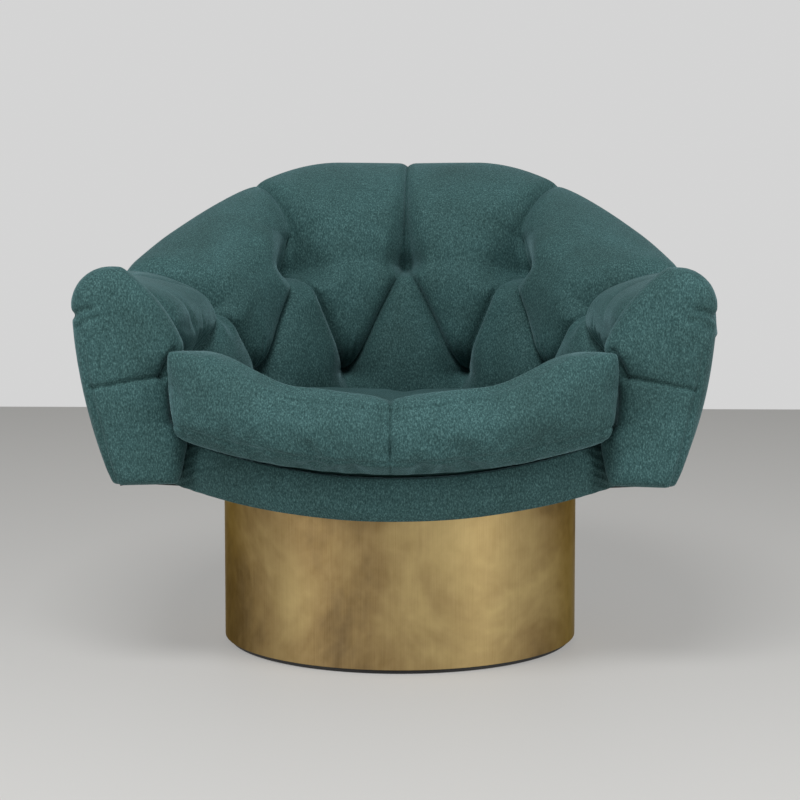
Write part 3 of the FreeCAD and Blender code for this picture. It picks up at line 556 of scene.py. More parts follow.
# Slanting pleats: depths and flanks of the hollow, its swell and reach, and depths of the crease
SLANT_DEPTHS, SLANT_FLANKS = (0.009, 0.007, 0.016), (0.022, 0.018, 0.030)
SLANT_SWELL, SLANT_REACH = 0.013, 0.060
SLANT_CREASE = (0.009, 0.010, 0.009)
# A tuft's narrow pit and the wider place that it draws in: radius of each, then their depths
PIT_RADIUS, DRAWN_RADIUS = 0.013, 0.034
UPPER_PIT, LOWER_PIT = (0.008, 0.005), (0.010, 0.026)
# Short folds that the tight cloth throws at a lower tuft: sideways and upward reach of each
SHORT_FOLDS = ((-0.022, 0.052), (-0.007, 0.070), (0.009, 0.060), (0.026, 0.046))
# Longer pulls seen on the arms: start, end and depth
PULLS = (
    ((-0.650, 0.538), (-0.585, 0.505), 0.005),
    ((0.640, 0.520), (0.700, 0.470), 0.005),
    ((-0.720, 0.500), (-0.690, 0.440), 0.004),
)


def shaped(values, thin):
    return tuple(value * thin for value in values)


def upright_pleats(run, height, upper):
    """Hollow and crease over the crest, above each upper tuft."""
    for spot in upper:
        crest = (spot[0], float(ridge_height(spot[0])))
        number = round(abs(spot[0]) / TUFT_PITCH)
        depths, slots, flanks = UPRIGHT[number]
        where = along_line(run, height, (crest, spot))
        soft = hollow(where, depths, slots, flanks, UPRIGHT_SWELL[number])
        yield soft, crease(where, UPRIGHT_CREASE[number], UPRIGHT_CREASE_WIDTH)


def slanting_pleats(run, height, upper, lower):
    """The crisp folds from each upper tuft to the lower ones beside it."""
    for spot in upper:
        for other in lower:
            if abs(spot[0] - other[0]) < 0.6 * TUFT_PITCH:
                thin = blend(1.0, 0.7, float(armward(other[0])))
                where = along_line(run, height, (spot, other))
                depths = shaped(SLANT_DEPTHS, thin)
                soft = hollow(where, depths, (0.0,) * 3, SLANT_FLANKS, SLANT_SWELL * thin, SLANT_REACH)
                yield soft, crease(where, shaped(SLANT_CREASE, thin), SLANT_CREASE_WIDTH)


def foot_pleats(run, height, lower):
    """The folds that drop from the lower tufts behind the cushion."""
    for spot in lower:
        foot = (spot[0], float(foot_height(spot[0])))
        where = along_line(run, height, (spot, foot))
        yield hollow(where, (0.022, 0.016, 0.012), (0.004, 0.001, 0.001), (0.03,) * 3, 0.006), 0 * run


def pleat_depth(run, height):
    """How far the cloth lies below the swollen surface."""
    upper, lower = tuft_spots(1), tuft_spots(2)
    folds = list(upright_pleats(run, height, upper))
    folds += list(slanting_pleats(run, height, upper, lower))
    folds += list(foot_pleats(run, height, lower))
    deep = sum(soft**4 for soft, _ in folds) ** 0.25 + np.max([sharp for _, sharp in folds], axis=0)
    for spots, (narrow, wide) in ((upper, UPPER_PIT), (lower, LOWER_PIT)):
        for spot in spots:
            away = np.hypot((run - spot[0]) * squeeze(spot[0]), height - spot[1])
            pit, drawn = np.exp(-((away / PIT_RADIUS) ** 2)), np.exp(-((away / DRAWN_RADIUS) ** 2))
            deep = deep + narrow * pit + wide * drawn
    for spot in lower:
        for across, up in SHORT_FOLDS:
            line = ((spot[0] + 0.2 * across, spot[1] + 0.008), (spot[0] + across / 0.7, spot[1] + up))
            deep = deep + crease(along_line(run, height, line), (0.011, 0.009, 0.0), SLANT_CREASE_WIDTH)
    for begin, stop, depth in PULLS:
        where = along_line(run, height, (begin, stop))
        deep = deep + hollow(where, shaped((0.3, 1.0, 0.2), depth), (0.0,) * 3, (0.016,) * 3)
    between = 1 - 0.65 * np.sin(math.pi * run / TUFT_PITCH) ** 2
    return deep + 0.007 * between * np.exp(-(((height - row_height(run, 1)) / 0.017) ** 2))


def face_normals(grid):
    """Unit normals of a grid of points, on the side that the sitter sees."""
    across = np.gradient(grid, axis=0)
    down = np.gradient(grid, axis=1)
    normal = np.cross(across, down)
    return normal / np.linalg.norm(normal, axis=-1, keepdims=True)


def make_tufted_inside():
    height = profile[..., 1]
    run = np.repeat(runs[:, None], PROFILE_POINTS, axis=1)
    depth = pleat_depth(run, height)
    past_crest = np.arange(PROFILE_POINTS)[None, :] > np.argmax(height, axis=1)[:, None]
    down_roll = np.clip((height - seam_height(run)) / ROLL_DEPTH, 0, 1)
    outward = ease((profile[..., 0] - 0.004) / 0.030)
    depth = np.where(past_crest, depth, depth * down_roll**1.5 * blend(1.0, 0.3, outward))
    normal = face_normals(swollen)
    middle = normal[len(runs) // 2, PROFILE_POINTS // 2]
    if middle[1] > 0:
        normal = -normal
    shown = swollen - normal * depth[..., None]
    behind = [
        (-0.045 + 0 * runs, foot_height(runs)),
        (-0.030 + 0 * runs, np.maximum(0.300, foot_height(runs) + 0.01)),
        (0.000 + 0 * runs, seam_height(runs) - 0.002),
    ]
    back = np.stack([place(runs, offset, high) for offset, high in behind], axis=1)
    return loft("tufted_padding", np.concatenate([shown, back], axis=1))


tufted = make_tufted_inside()
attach(tufted, "seat")
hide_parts("tufted_inside")
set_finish(tufted, "plush")
print("tufted padding:", len(tufted.data.vertices), "points")

# %% [markdown]
# ## The outside cover
# Outside, the same plush is drawn tight over a thin board, so it is a plain leaning skin
# with a turned-in lower edge and an upright seam where back and arm panels meet. A grid
# with a rounded rim is enough, and slight waves keep it from looking like sheet metal.

# %% Outside cover
COVER_THICK = 0.008


def make_outside_cover():
    along = np.linspace(-SHELL_RUN, SHELL_RUN, 361)
    shares = np.linspace(0, 1, 48)
    rings = []
    top = seam_height(along)
    for share in shares:
        high = blend(SHELL_BOTTOM, top, share)
        offset = outer_offset(along, high)
        rim = np.clip(1 - (high - SHELL_BOTTOM) / 0.007, 0, 1)
        offset = offset - 0.006 * (1 - np.sqrt(1 - rim**2 + 1e-9))
        wave = 0.0007 * np.sin(along * 31 + 2 * np.sin(high * 19)) * np.sin(high * 23)
        seam = sum(0.0022 * np.exp(-(((along - s) / 0.0035) ** 2)) for s in (-0.62, 0.62))
        rings.append(place(along, offset + wave - seam, high))
    for share in (1, 0.5, 0):
        high = blend(SHELL_BOTTOM, top, share)
        rings.append(place(along, outer_offset(along, high) - COVER_THICK, high))
    return loft("outside_plush", np.stack(rings, axis=1))


outside = make_outside_cover()
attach(outside, "seat")
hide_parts("outside_cover")
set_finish(outside, "plush")
print("outside cover:", len(outside.data.vertices), "points")

# %% [markdown]
# ## The arm fronts
# Each arm ends in a padded front: a tall lobe, fat and round at the top, that leans over
# the cushion's corner and narrows to a foot. Its outline is drawn once as arcs and lines.
# Drawn in step by step while it comes forward, it makes a dome. An even remesh follows, so
# that the folds of the real front can be pressed in: a level pleat, a seam along the outer
# edge and the short gathers above it.

# %% Arm fronts
FRONT_START, FRONT_THICK = SHELL_RUN + 0.0003, 0.034
LOBE_HEIGHT = 0.448
ARM_VOXEL, ARM_FULLER, FRONT_MIDDLE, FRONT_FACE_Y = 0.0034, 0.0014, 0.358, -0.290


def arm_front_outline(run, shrink):
    """Offset and height points round the arm's end, drawn in all round by shrink."""
    top = float(ridge_height(run)) - shrink
    seam = float(seam_height(run)) + ROLL_DEPTH / 2
    low = SHELL_BOTTOM + shrink * 0.4
    inner, lobe, tuck = -0.063 + shrink, -0.080 + shrink, -0.084 + shrink
    foot = -0.073 + shrink
    wide = float(outer_offset(run, ARM_TOP)) + 0.0015 - shrink
    waist = blend(low, float(seam_height(run)), 0.55)
    bottom = (float(outer_offset(run, low)) - shrink, low)
    line = arc(bottom, (float(outer_offset(run, waist)) - shrink, waist), (wide, seam), 26)
    line += arc((wide, seam), (wide * 0.84, blend(seam, top, 0.58)), (0.008, top), 20)[1:]
    line += [(0, top)]
    line += arc((0, top), (lobe * 0.6, blend(top, LOBE_HEIGHT, 0.45)), (lobe, LOBE_HEIGHT), 24)[1:]
    line += arc((lobe, LOBE_HEIGHT), (lobe + 0.004, LOBE_HEIGHT - 0.018), (inner, 0.420), 8)[1:]
    line += arc((inner, 0.420), (inner + 0.002, 0.380), (inner, 0.342), 10)[1:]
    line += arc((inner, 0.342), (tuck + 0.006, 0.330), (tuck, 0.316), 8)[1:]
    line += arc((tuck, 0.316), ((tuck + foot) / 2, (0.316 + low) / 2), (foot, low), 10)[1:]
    line += arc((foot, low), ((foot + bottom[0]) / 2, low), bottom, 12)[1:-1]
    return np.array(line)


def groove(distance, width, depth):
    """A narrow valley: full depth on its line, gone a few widths away."""
    return depth * np.exp(-((distance / width) ** 2))


def distance_to_path(points, path):
    """Distance of flat points from a chain of straight runs, and how far along it each lies."""
    best, share = np.full(len(points), 1e9), np.zeros(len(points))
    for i in range(len(path) - 1):
        a, b = np.array(path[i], float), np.array(path[i + 1], float)
        t = np.clip(((points - a) @ (b - a)) / ((b - a) @ (b - a)), 0, 1)
        away = np.linalg.norm(points - (a + t[:, None] * (b - a)), axis=1)
        closer = away < best
        best = np.where(closer, away, best)
        share = np.where(closer, (i + t) / (len(path) - 1), share)
    return best, share


def make_arm_front(name, side):
    rings = []
    for inset in (0, 0.0015, 0.004, 0.008, 0.013, 0.019, 0.026, 0.033):
        round_off = (1 - (1 - min(inset / 0.036, 1)) ** 2.4) ** (1 / 2.2)
        run = FRONT_START + FRONT_THICK * (0.30 + 0.70 * round_off)
        outline = arm_front_outline(run, inset)
        rings.append(place(side * run, outline[:, 0], outline[:, 1]))
    outline = arm_front_outline(FRONT_START, 0.0)
    rings.insert(0, place(side * FRONT_START, outline[:, 0], outline[:, 1]))
    piece = remesh(loft(name, np.array(rings)), ARM_VOXEL)
    step = piece.modifiers.new("soften", "SMOOTH")
    step.factor, step.iterations = 0.5, 5
    with_modifiers(piece)
    points, normals = points_of(piece), normals_of(piece)
    fuller = ARM_FULLER * np.clip((points[:, 2] - SHELL_BOTTOM) / 0.02, 0, 1)
    points = points + normals * fuller[:, None]
    offset = np.abs(points[:, 0]) - FRONT_MIDDLE
    flat = np.stack([offset, points[:, 2]], axis=-1)
    front = np.clip((FRONT_FACE_Y - points[:, 1]) / 0.006, 0, 1)
    pleat_line = [(-0.070, 0.408), (-0.030, 0.403), (0.010, 0.396), (0.036, 0.392)]
    away, share = distance_to_path(flat, pleat_line)
    press = groove(away, 0.0026, 0.006) + groove(away, 0.012, 0.005) * (1 - share)
    heights = np.linspace(SHELL_BOTTOM, 0.446, 12)
    inset = blend(0.007, 0.014, ease((heights - SHELL_BOTTOM) / 0.09))
    edge = list(zip(outer_offset(np.array(SHELL_RUN), heights) - inset, heights))
    edge += [(0.026, 0.462), (0.009, 0.470)]
    away, share = distance_to_path(flat, edge)
    press += groove(away, 0.0024, 0.0045) * np.clip(2.2 - 2 * share, 0.3, 1)
    for folds, deep in (
        (((0.060, 0.487), (0.048, 0.493), (0.034, 0.496)), 0.006),
        (((0.052, 0.472), (0.040, 0.481), (0.026, 0.484)), 0.004),
        (((-0.072, 0.440), (-0.064, 0.424), (-0.060, 0.405)), 0.006),
    ):
        away, _ = distance_to_path(flat, folds)
        press += groove(away, 0.0045, deep)
    move_points(piece, points - normals * (press * front)[:, None])
    return subdivide(piece)


for label, side in (("left", -1), ("right", 1)):
    arm_front = make_arm_front("arm_front_pad_" + label, side)
    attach(arm_front, "seat")
    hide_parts("arm_front_" + label)
    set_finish(arm_front, "plush")
    print("arm front", label, len(arm_front.data.vertices), "points")

# %% [markdown]
# ## The front rail
# Under the cushion the front rail shows as a crescent: low and full in the middle, rising
# to both arms. It is a padded roll over a bowed board. A loft of D-shaped rings from side
# to side follows it, with a few drag folds where its ends go under the arm fronts.

# %% Front rail cover
ARM_END_X, ARM_END_Y = (float(c) for c in ridge(np.array(SHELL_RUN))[:2])
APRON_HALF, APRON_FRONT, APRON_SET_BACK = ARM_END_X - 0.072, 0.075 - ARM_END_Y, 0.092
APRON_LOW, APRON_HIGH, APRON_LOW_RISE, APRON_HIGH_RISE = 0.224, 0.280, 0.031, 0.039
APRON_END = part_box("front_rail")[1][0] + 0.005
APRON_PADDING, RAIL_THICK, LAY_GAP = 0.009, 0.022, 0.0003


def bow(x, front, half, set_back):
    radius = (half * half + set_back * set_back) / (2 * set_back)
    return -front + radius - np.sqrt(radius * radius - x * x)


def make_front_rail_cover():
    rings = []
    for x in np.linspace(-APRON_END, APRON_END, 181):
        front = float(bow(x, APRON_FRONT, APRON_HALF, APRON_SET_BACK))
        share = (x / APRON_HALF) ** 2
        low, high = APRON_LOW + APRON_LOW_RISE * share, APRON_HIGH + APRON_HIGH_RISE * share
        rear, face = front + APRON_PADDING + RAIL_THICK, front + APRON_PADDING
        roll = [(face + 0.006, high)] + arc((face, high), (front, (low + high) / 2), (face, low), 30)
        inner_low, inner_high = low + APRON_PADDING - LAY_GAP, high - APRON_PADDING + LAY_GAP
        flat = [(rear, low), (rear, inner_low), (face - LAY_GAP, inner_low)]
        flat += [(face - LAY_GAP, inner_high), (rear, inner_high), (rear, high)]
        ring = np.array([(x, y, z) for y, z in roll + flat])
        near_end = np.clip((abs(x) - 0.225) / 0.05, 0, 1)
        for i in range(1, 32):
            y, z = ring[i, 1], ring[i, 2]
            fold = 0.0016 * near_end * math.sin(z * 520 + abs(x) * 240)
            drag = 0.0008 * math.sin(x * 47 + z * 30)
            ring[i, 1] += fold + drag
        rings.append(ring)
    return loft("front_rail_pad", np.array(rings))


apron = make_front_rail_cover()
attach(apron, "seat")
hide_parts("front_rail_cover")
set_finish(apron, "plush")
print("front rail cover:", len(apron.data.vertices), "points")

# %% [markdown]
# ## The loose cushion
# The cushion is a boxed one: a top and a bottom panel with a side band between them. It is
# as wide as the space in front, rounded at the front corners, and follows the tufted wall
# behind. Real filling pushes every panel out a little, more in the middle than at the
# seams, and a cloth simulation with air pressure does that well. The start shape is a few
# millimetres small. Each point may move only a little way, so the cushion still fits.
# The seam and the two folds at the middle of its front are pressed in afterwards.

# %% Cushion
CUSHION_FRONT, CORNER_HALF = 0.128 - ARM_END_Y, ARM_END_X - 0.068
CORNER_SET_BACK, CORNER_DEPTH = 0.077, 0.030
LOW_FRONT, HIGH_FRONT, LOW_REAR, HIGH_REAR = 0.297, 0.387, 0.271, 0.324
SMILE, HIGH_SMILE, HOLLOW = 0.040, 0.070, 0.024
CUSHION_GAP = 0.004
BAND_SINK, EDGE_ROUND, PANEL_INSET, UNDER_LIFT = 0.0005, 0.010, 0.012, 0.003
CUSHION_VOXEL, AIR_PRESSURE, AIR_FRAMES, SWELL_LIMIT = 0.005, 4.0, 20, 0.010
CUSHION_DEPTH = CUSHION_FRONT + BACK_RADIUS - 0.140


def seat_edge(run, clearance):
    """Plan points of the line that both rows of pillows leave free."""
    upper = row_offset(run, 1) - blend(0.020, 0.009, armward(run))
    lower = row_offset(run, 2) - blend(0.014, 0.004, ease((np.abs(run) - 0.650) / TUFT_PITCH))
    return place(run, np.minimum(upper, lower) - clearance, 0.0)[:, :2]


def even_loop(points, count, soften):
    """A closed line with evenly spaced points, its corners rounded by a few rounds of averaging."""
    for _ in range(2):
        closed = np.concatenate([points, points[:1]])
        length = np.concatenate([[0], np.cumsum(np.linalg.norm(np.diff(closed, axis=0), axis=1))])
        stops = np.linspace(0, length[-1], count, endpoint=False)
        points = np.stack([np.interp(stops, length, closed[:, j]) for j in (0, 1)], axis=-1)
        for _ in range(soften):
            points = (np.roll(points, 1, 0) + 2 * points + np.roll(points, -1, 0)) / 4
    return points


def lifted_edge(share):
    """The top edge climbs gently from the middle, then steeply, and is level at the corners."""
    return 0.42 * share + 0.58 * ease((share - 0.42) / 0.46)


def cushion_levels(x, y):
    """Height of the cushion's underside and top over a plan point."""
    front = bow(np.clip(x, -CORNER_HALF, CORNER_HALF), CUSHION_FRONT, CORNER_HALF, CORNER_SET_BACK)
    share = np.clip((y - front) / CUSHION_DEPTH, 0, 1)
    low = LOW_FRONT + SMILE * (x / CORNER_HALF) ** 2
    high = HIGH_FRONT + HIGH_SMILE * lifted_edge(np.clip(np.abs(x) / CORNER_HALF, 0, 1))
    hollow = HOLLOW * np.sin(math.pi * np.clip(share * 1.2, 0, 1))
    return blend(low, LOW_REAR, share), blend(high, HIGH_REAR, share) - hollow


def cushion_plan():
    across = np.linspace(-CORNER_HALF, CORNER_HALF, 61)
    front = np.stack([across, bow(across, CUSHION_FRONT, CORNER_HALF, CORNER_SET_BACK)], axis=-1)
    corner = CORNER_SET_BACK + CORNER_DEPTH - CUSHION_FRONT
    sides = seat_edge(np.linspace(0.96 * SHELL_RUN, -0.96 * SHELL_RUN, 120), CUSHION_GAP)
    plan = np.concatenate([front, [[CORNER_HALF, corner]], sides, [[-CORNER_HALF, corner]]])
    return even_loop(plan, 400, 1)


def make_cushion():
    plan = cushion_plan()
    centre = np.array([0.0, -0.09])
    before, after = np.roll(plan, 1, 0), np.roll(plan, -1, 0)
    along = (after - before) / np.linalg.norm(after - before, axis=1, keepdims=True)
    inward = np.stack([-along[:, 1], along[:, 0]], axis=-1)
    if ((centre - plan[0]) @ inward[0]) < 0:
        inward = -inward
    rings = []
    for share in (0.0, 0.25, 0.5, 0.72, 0.88, 0.97):
        spot = centre + (plan + inward * PANEL_INSET - centre) * share
        rings.append((spot, 0.0, 0))
    band = []
    for turn in (0.5, 1.0):
        sink = BAND_SINK + EDGE_ROUND * (1 - math.sin(turn))
        band.append((plan + inward * sink, EDGE_ROUND * (1 - math.cos(turn)), 0))
    side = [(plan + inward * BAND_SINK, None, share) for share in (0.08, 0.3, 0.5, 0.7, 0.92)]
    over = [(spot, drop, 1) for spot, drop, _ in band[::-1]]
    over += [(spot, drop, 1) for spot, drop, _ in rings[::-1]]
    stack = []
    for spot, drop, share in rings + band + side + over:
        low, high = cushion_levels(spot[:, 0], spot[:, 1])
        low = low + UNDER_LIFT
        if drop is None:
            height = blend(low, high, share)
        elif share == 0:
            height = low + drop
        else:
            height = high - drop
        stack.append(np.column_stack([spot, height]))
    return loft("seat_cushion_pad", np.array(stack[1:-1]))


def inflate(piece, pressure, frames, cap):
    """Blows the piece up as cloth, and keeps every point within cap of where it was."""
    before = points_of(piece)
    step = piece.modifiers.new("filling", "CLOTH")
    cloth = step.settings
    cloth.quality, cloth.mass = 6, 0.4
    cloth.use_pressure, cloth.uniform_pressure_force = True, pressure
    cloth.tension_stiffness = cloth.compression_stiffness = 20
    cloth.shear_stiffness, cloth.bending_stiffness = 8, 0.8
    cloth.effector_weights.gravity = 0.0
    step.point_cache.frame_start, step.point_cache.frame_end = 1, frames
    for number in range(1, frames + 1):
        bpy.context.scene.frame_set(number)
    with_modifiers(piece)
    bpy.context.scene.frame_set(1)
    after = points_of(piece)
    shift = after - before
    far = np.linalg.norm(shift, axis=1, keepdims=True)
    move_points(piece, before + shift * np.minimum(1, cap / np.maximum(far, 1e-9)))
    print("filling moved the cloth by up to", round(float(far.max()) * 1000, 1), "mm, kept to", cap * 1000)


cushion = remesh(make_cushion(), CUSHION_VOXEL)
inflate(cushion, AIR_PRESSURE, AIR_FRAMES, SWELL_LIMIT)
cushion = subdivide(cushion)
print("cushion:", len(cushion.data.vertices), "points")

# %% [markdown]
# ### Seam and folds of the cushion
# The band is joined at the middle of the front, and the cloth is caught in two short
# upright folds there. The seams round the top and the bottom of the band only show as a
# slight crease with a fuller edge, because the pile hides the stitches.

# %% Press the seams in


def press_cushion_seams(piece):
    points, normals = points_of(piece), normals_of(piece)
    x, y, z = points.T
    low, high = cushion_levels(x, y)
    front = bow(np.clip(x, -CORNER_HALF, CORNER_HALF), CUSHION_FRONT, CORNER_HALF, CORNER_SET_BACK)
    face = np.clip((0.045 - (y - front)) / 0.02, 0, 1)
    press = groove(x, 0.0022, 0.0065) * face * np.clip((z - low) / 0.02, 0.35, 1)
    for shift, top, bottom, deep in ((-0.010, -0.004, -0.062, 0.0035), (0.007, -0.002, -0.036, 0.003)):
        fade = ease((z - (high + bottom)) / 0.02) * ease(((high + top) - z) / 0.01 + 1)
        press += groove(x - shift, 0.0025, deep) * face * fade
    press += groove(x, 0.020, 0.004) * np.clip((z - blend(low, high, 0.5)) / 0.03, 0, 1)
    outward = np.clip(np.hypot(normals[:, 0], normals[:, 1]) * 1.4, 0, 1)
    press += groove(z - (high - 0.011), 0.0022, 0.0016) * outward
    press += groove(z - (low + 0.011), 0.0022, 0.0016) * outward
    drag = 0.0006 * np.sin(x * 60 + 1.5 * np.sin(z * 70)) * np.sin(z * 95 + x * 20) * face
    move_points(piece, points - normals * (press + drag)[:, None])


press_cushion_seams(cushion)
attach(cushion, "cushion")
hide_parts("seat_cushion")
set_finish(cushion, "plush")
print("highest point of the cushion:", round(float(points_of(cushion)[:, 2].max()), 3), "m")

# %% [markdown]
# ## Deck and underside
# Two soft parts show only when the cushion is lifted out or the chair is turned over: the
# wedge of foam that carries the cushion, under plain cloth, and the thin black cloth that
# closes the shell from below. The foam is remeshed and softened, and its top sinks a little,
# with slight dimples and a shallow seam. The cloth is a sheet stapled at its edges, cut into
# short faces, with a shallow sag.

# %% Deck and underside


def copy_of(node, name):
    piece = bpy.data.objects.new(name, frame["nodes"][node].data.copy())
    piece.data.materials.clear()
    bpy.context.scene.collection.objects.link(piece)
    return piece


def make_deck():
    piece = remesh(copy_of("seat_deck", "deck_pad"), 0.005)
    step = piece.modifiers.new("soften", "SMOOTH")
    step.factor, step.iterations = 0.5, 6
    with_modifiers(piece)
    points, normals = points_of(piece), normals_of(piece)
    x, y, _ = points.T
    up = np.clip(normals[:, 2] - 0.6, 0, 1) * 2.5
    dimple = 0.0008 * np.sin(x * 85) * np.sin(y * 85)
    seam = groove(y + 0.21 - 0.5 * x * x, 0.003, 0.0028)
    move_points(piece, points - normals * ((dimple + seam + 0.001) * up)[:, None])
    return piece


def make_underside():
    piece = copy_of("underside_cloth", "underside_sheet")
    build = bmesh.new()
    build.from_mesh(piece.data)
    bmesh.ops.remove_doubles(build, verts=build.verts, dist=0.00005)
    bmesh.ops.triangulate(build, faces=build.faces)
    for _ in range(4):
        long_edges = [e for e in build.edges if e.calc_length() > 0.022]
        bmesh.ops.subdivide_edges(build, edges=long_edges, cuts=1, use_grid_fill=False)
        bmesh.ops.triangulate(build, faces=build.faces)
    for point in build.verts:
        x, y, _ = point.co
        point.co.z -= 0.0008 * (1 + math.sin(x * 55) * math.sin(y * 48))
    build.to_mesh(piece.data)
    build.free()
    piece.data.shade_flat()
    return piece


deck = make_deck()
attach(deck, "seat")
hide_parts("seat_deck")
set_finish(deck, "deck_cloth")
underside = make_underside()
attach(underside, "seat")
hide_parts("underside_cloth")
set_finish(underside, "cambric")
print("deck:", len(deck.data.vertices), "points; underside:", len(underside.data.vertices))

# %% [markdown]
# ## Shared effects for the finishes
# Every finish is worked out from the place on the part, in metres, with no pictures. Two
# effects serve several finishes, so each is a node group with named inputs. One makes soft
# clouds, for patina, nap and wear. The other makes grain: noise drawn out along one axis,
# for wood, board and brushed steel.

# %% Clouds and grain


def new_group(name, inputs, outputs):
    """A node group with number inputs (name, value) and outputs, and its two end nodes."""
    group = bpy.data.node_groups.new(name, "ShaderNodeTree")
    for label, value in inputs:
        socket = group.interface.new_socket(label, in_out="INPUT", socket_type="NodeSocketFloat")
        socket.default_value = value
    for label in outputs:
        group.interface.new_socket(label, in_out="OUTPUT", socket_type="NodeSocketFloat")
    return group, group.nodes.new("NodeGroupInput"), group.nodes.new("NodeGroupOutput")


def make_clouds():
    group, start, end = new_group("clouds", (("Scale", 8.0), ("Contrast", 2.0)), ("Mask",))
    spot = add_node(group, "ShaderNodeTexCoord")
    noise = add_node(group, "ShaderNodeTexNoise", {"Detail": 4.0, "Roughness": 0.6, "Distortion": 0.4})
    shift = add_node(group, "ShaderNodeMath", operation="SUBTRACT")
    shift.inputs[1].default_value = 0.5
    gain = add_node(group, "ShaderNodeMath", operation="MULTIPLY")
    back = add_node(group, "ShaderNodeMath", operation="ADD", use_clamp=True)
    back.inputs[1].default_value = 0.5
    join(
        group,
        (spot.outputs["Object"], noise.inputs["Vector"]),
        (start.outputs["Scale"], noise.inputs["Scale"]),
        (noise.outputs[0], shift.inputs[0]),
        (shift.outputs[0], gain.inputs[0]),
        (start.outputs["Contrast"], gain.inputs[1]),
        (gain.outputs[0], back.inputs[0]),
        (back.outputs[0], end.inputs["Mask"]),
    )
    return group


def make_grain():
    inputs = (("Scale X", 40.0), ("Scale Y", 40.0), ("Scale Z", 40.0), ("Roughness", 0.6))
    group, start, end = new_group("grain", inputs, ("Mask",))
    spot = add_node(group, "ShaderNodeTexCoord")
    scale = add_node(group, "ShaderNodeCombineXYZ")
    stretch = add_node(group, "ShaderNodeVectorMath", operation="MULTIPLY")
    noise = add_node(group, "ShaderNodeTexNoise", {"Scale": 1.0, "Detail": 3.0})
    for axis in "XYZ":
        group.links.new(start.outputs["Scale " + axis], scale.inputs[axis])
    join(
        group,
        (spot.outputs["Object"], stretch.inputs[0]),
        (scale.outputs[0], stretch.inputs[1]),
        (stretch.outputs[0], noise.inputs["Vector"]),
        (start.outputs["Roughness"], noise.inputs["Roughness"]),
        (noise.outputs[0], end.inputs["Mask"]),
    )
    return group


CLOUDS, GRAIN = make_clouds(), make_grain()


def use_group(tree, group, **values):
    node = add_node(tree, "ShaderNodeGroup", node_tree=group)
    for name, value in values.items():
        node.inputs[name.replace("_", " ")].default_value = value
    return node.outputs[0]


def ramp(tree, source, *stops):
    """Colours along a mask: stops are (place, (r, g, b))."""
    node = add_node(tree, "ShaderNodeValToRGB")
    bar = node.color_ramp
    while len(bar.elements) < len(stops):
        bar.elements.new(0.5)
    for element, (spot, colour) in zip(bar.elements, stops):
        element.position, element.color = spot, (*colour, 1)
    tree.links.new(source, node.inputs[0])
    return node.outputs[0]


def mixed(tree, source, low, high):
    """The mask stretched to run from low to high."""
    node = add_node(tree, "ShaderNodeMapRange", {"To Min": low, "To Max": high})
    tree.links.new(source, node.inputs[0])
    return node.outputs[0]


def tinted(tree, share, colour, other, kind="MIX"):
    """One colour over another by a mask, or by a fixed share."""
    node = add_node(tree, "ShaderNodeMix", data_type="RGBA", blend_type=kind)
    if isinstance(share, float):
        node.inputs[0].default_value = share
    else:
        tree.links.new(share, node.inputs[0])
    for slot, value in ((6, colour), (7, other)):
        if isinstance(value, tuple):
            node.inputs[slot].default_value = (*value, 1)
        else:
            tree.links.new(value, node.inputs[slot])
    return node.outputs[2]


def bump(tree, shader, source, height):
    node = add_node(tree, "ShaderNodeBump", {"Strength": 1.0, "Distance": height})
    tree.links.new(source, node.inputs["Height"])
    tree.links.new(node.outputs[0], shader.inputs["Normal"])


def new_finish(name, **values):
    """A material with the shader's own values set, and its node tree and shader."""
    paint = bpy.data.materials.new(name)
    paint.use_nodes = True
    shader = paint.node_tree.nodes["Principled BSDF"]
    for label, value in values.items():
        shader.inputs[label.replace("_", " ")].default_value = value
    return paint, paint.node_tree, shader


print("shared effects:", CLOUDS.name, "and", GRAIN.name)

# %% [markdown]
# ## Plush
# The cloth is a short-pile plush in deep green. Its pile lies in little tufts a few
# millimetres long, some towards the light and some away, which gives a fine mottle. Over
# it run broad soft patches where a hand has brushed the nap. Pile also glows where the
# cloth turns away, so the shader's sheen is up. A grain drawn out downwards makes the
# mottle, clouds make the patches, and the same grain lifts the surface.

# %% Plush


def make_plush():
    paint, tree, shader = new_finish(
        "green_plush", Roughness=0.85, Sheen_Weight=0.26, Sheen_Roughness=0.32,
        Sheen_Tint=(0.55, 0.92, 1.0, 1), Specular_IOR_Level=0.25,
    )
    nap = use_group(tree, GRAIN, Scale_X=560.0, Scale_Y=560.0, Scale_Z=300.0, Roughness=0.65)
    patches = use_group(tree, CLOUDS, Scale=9.0, Contrast=2.2)
    base = ramp(
        tree, nap, (0.32, (0.014, 0.046, 0.047)), (0.50, (0.033, 0.089, 0.091)), (0.70, (0.086, 0.186, 0.186))
    )
    shade = ramp(tree, patches, (0.0, (0.66, 0.68, 0.66)), (1.0, (1.0, 1.0, 1.0)))
    tree.links.new(tinted(tree, 1.0, base, shade, "MULTIPLY"), shader.inputs["Base Color"])
    tree.links.new(mixed(tree, nap, 0.92, 0.70), shader.inputs["Roughness"])
    bump(tree, shader, nap, 0.0008)
    return paint


# %% [markdown]
# ## Aged brass
# The drum is wrapped in brass sheet that has been darkened and rubbed back: a warm metal
# with brown clouds, duller where it is darker, and fine upright brush marks. The clouds
# drive both the colour and the roughness, so the dark places really are duller. A dark
# brown edge tint also darkens the gloss at the drum's sides, where the metal is seen at a
# glancing angle: that is painted shade.

# %% Aged brass


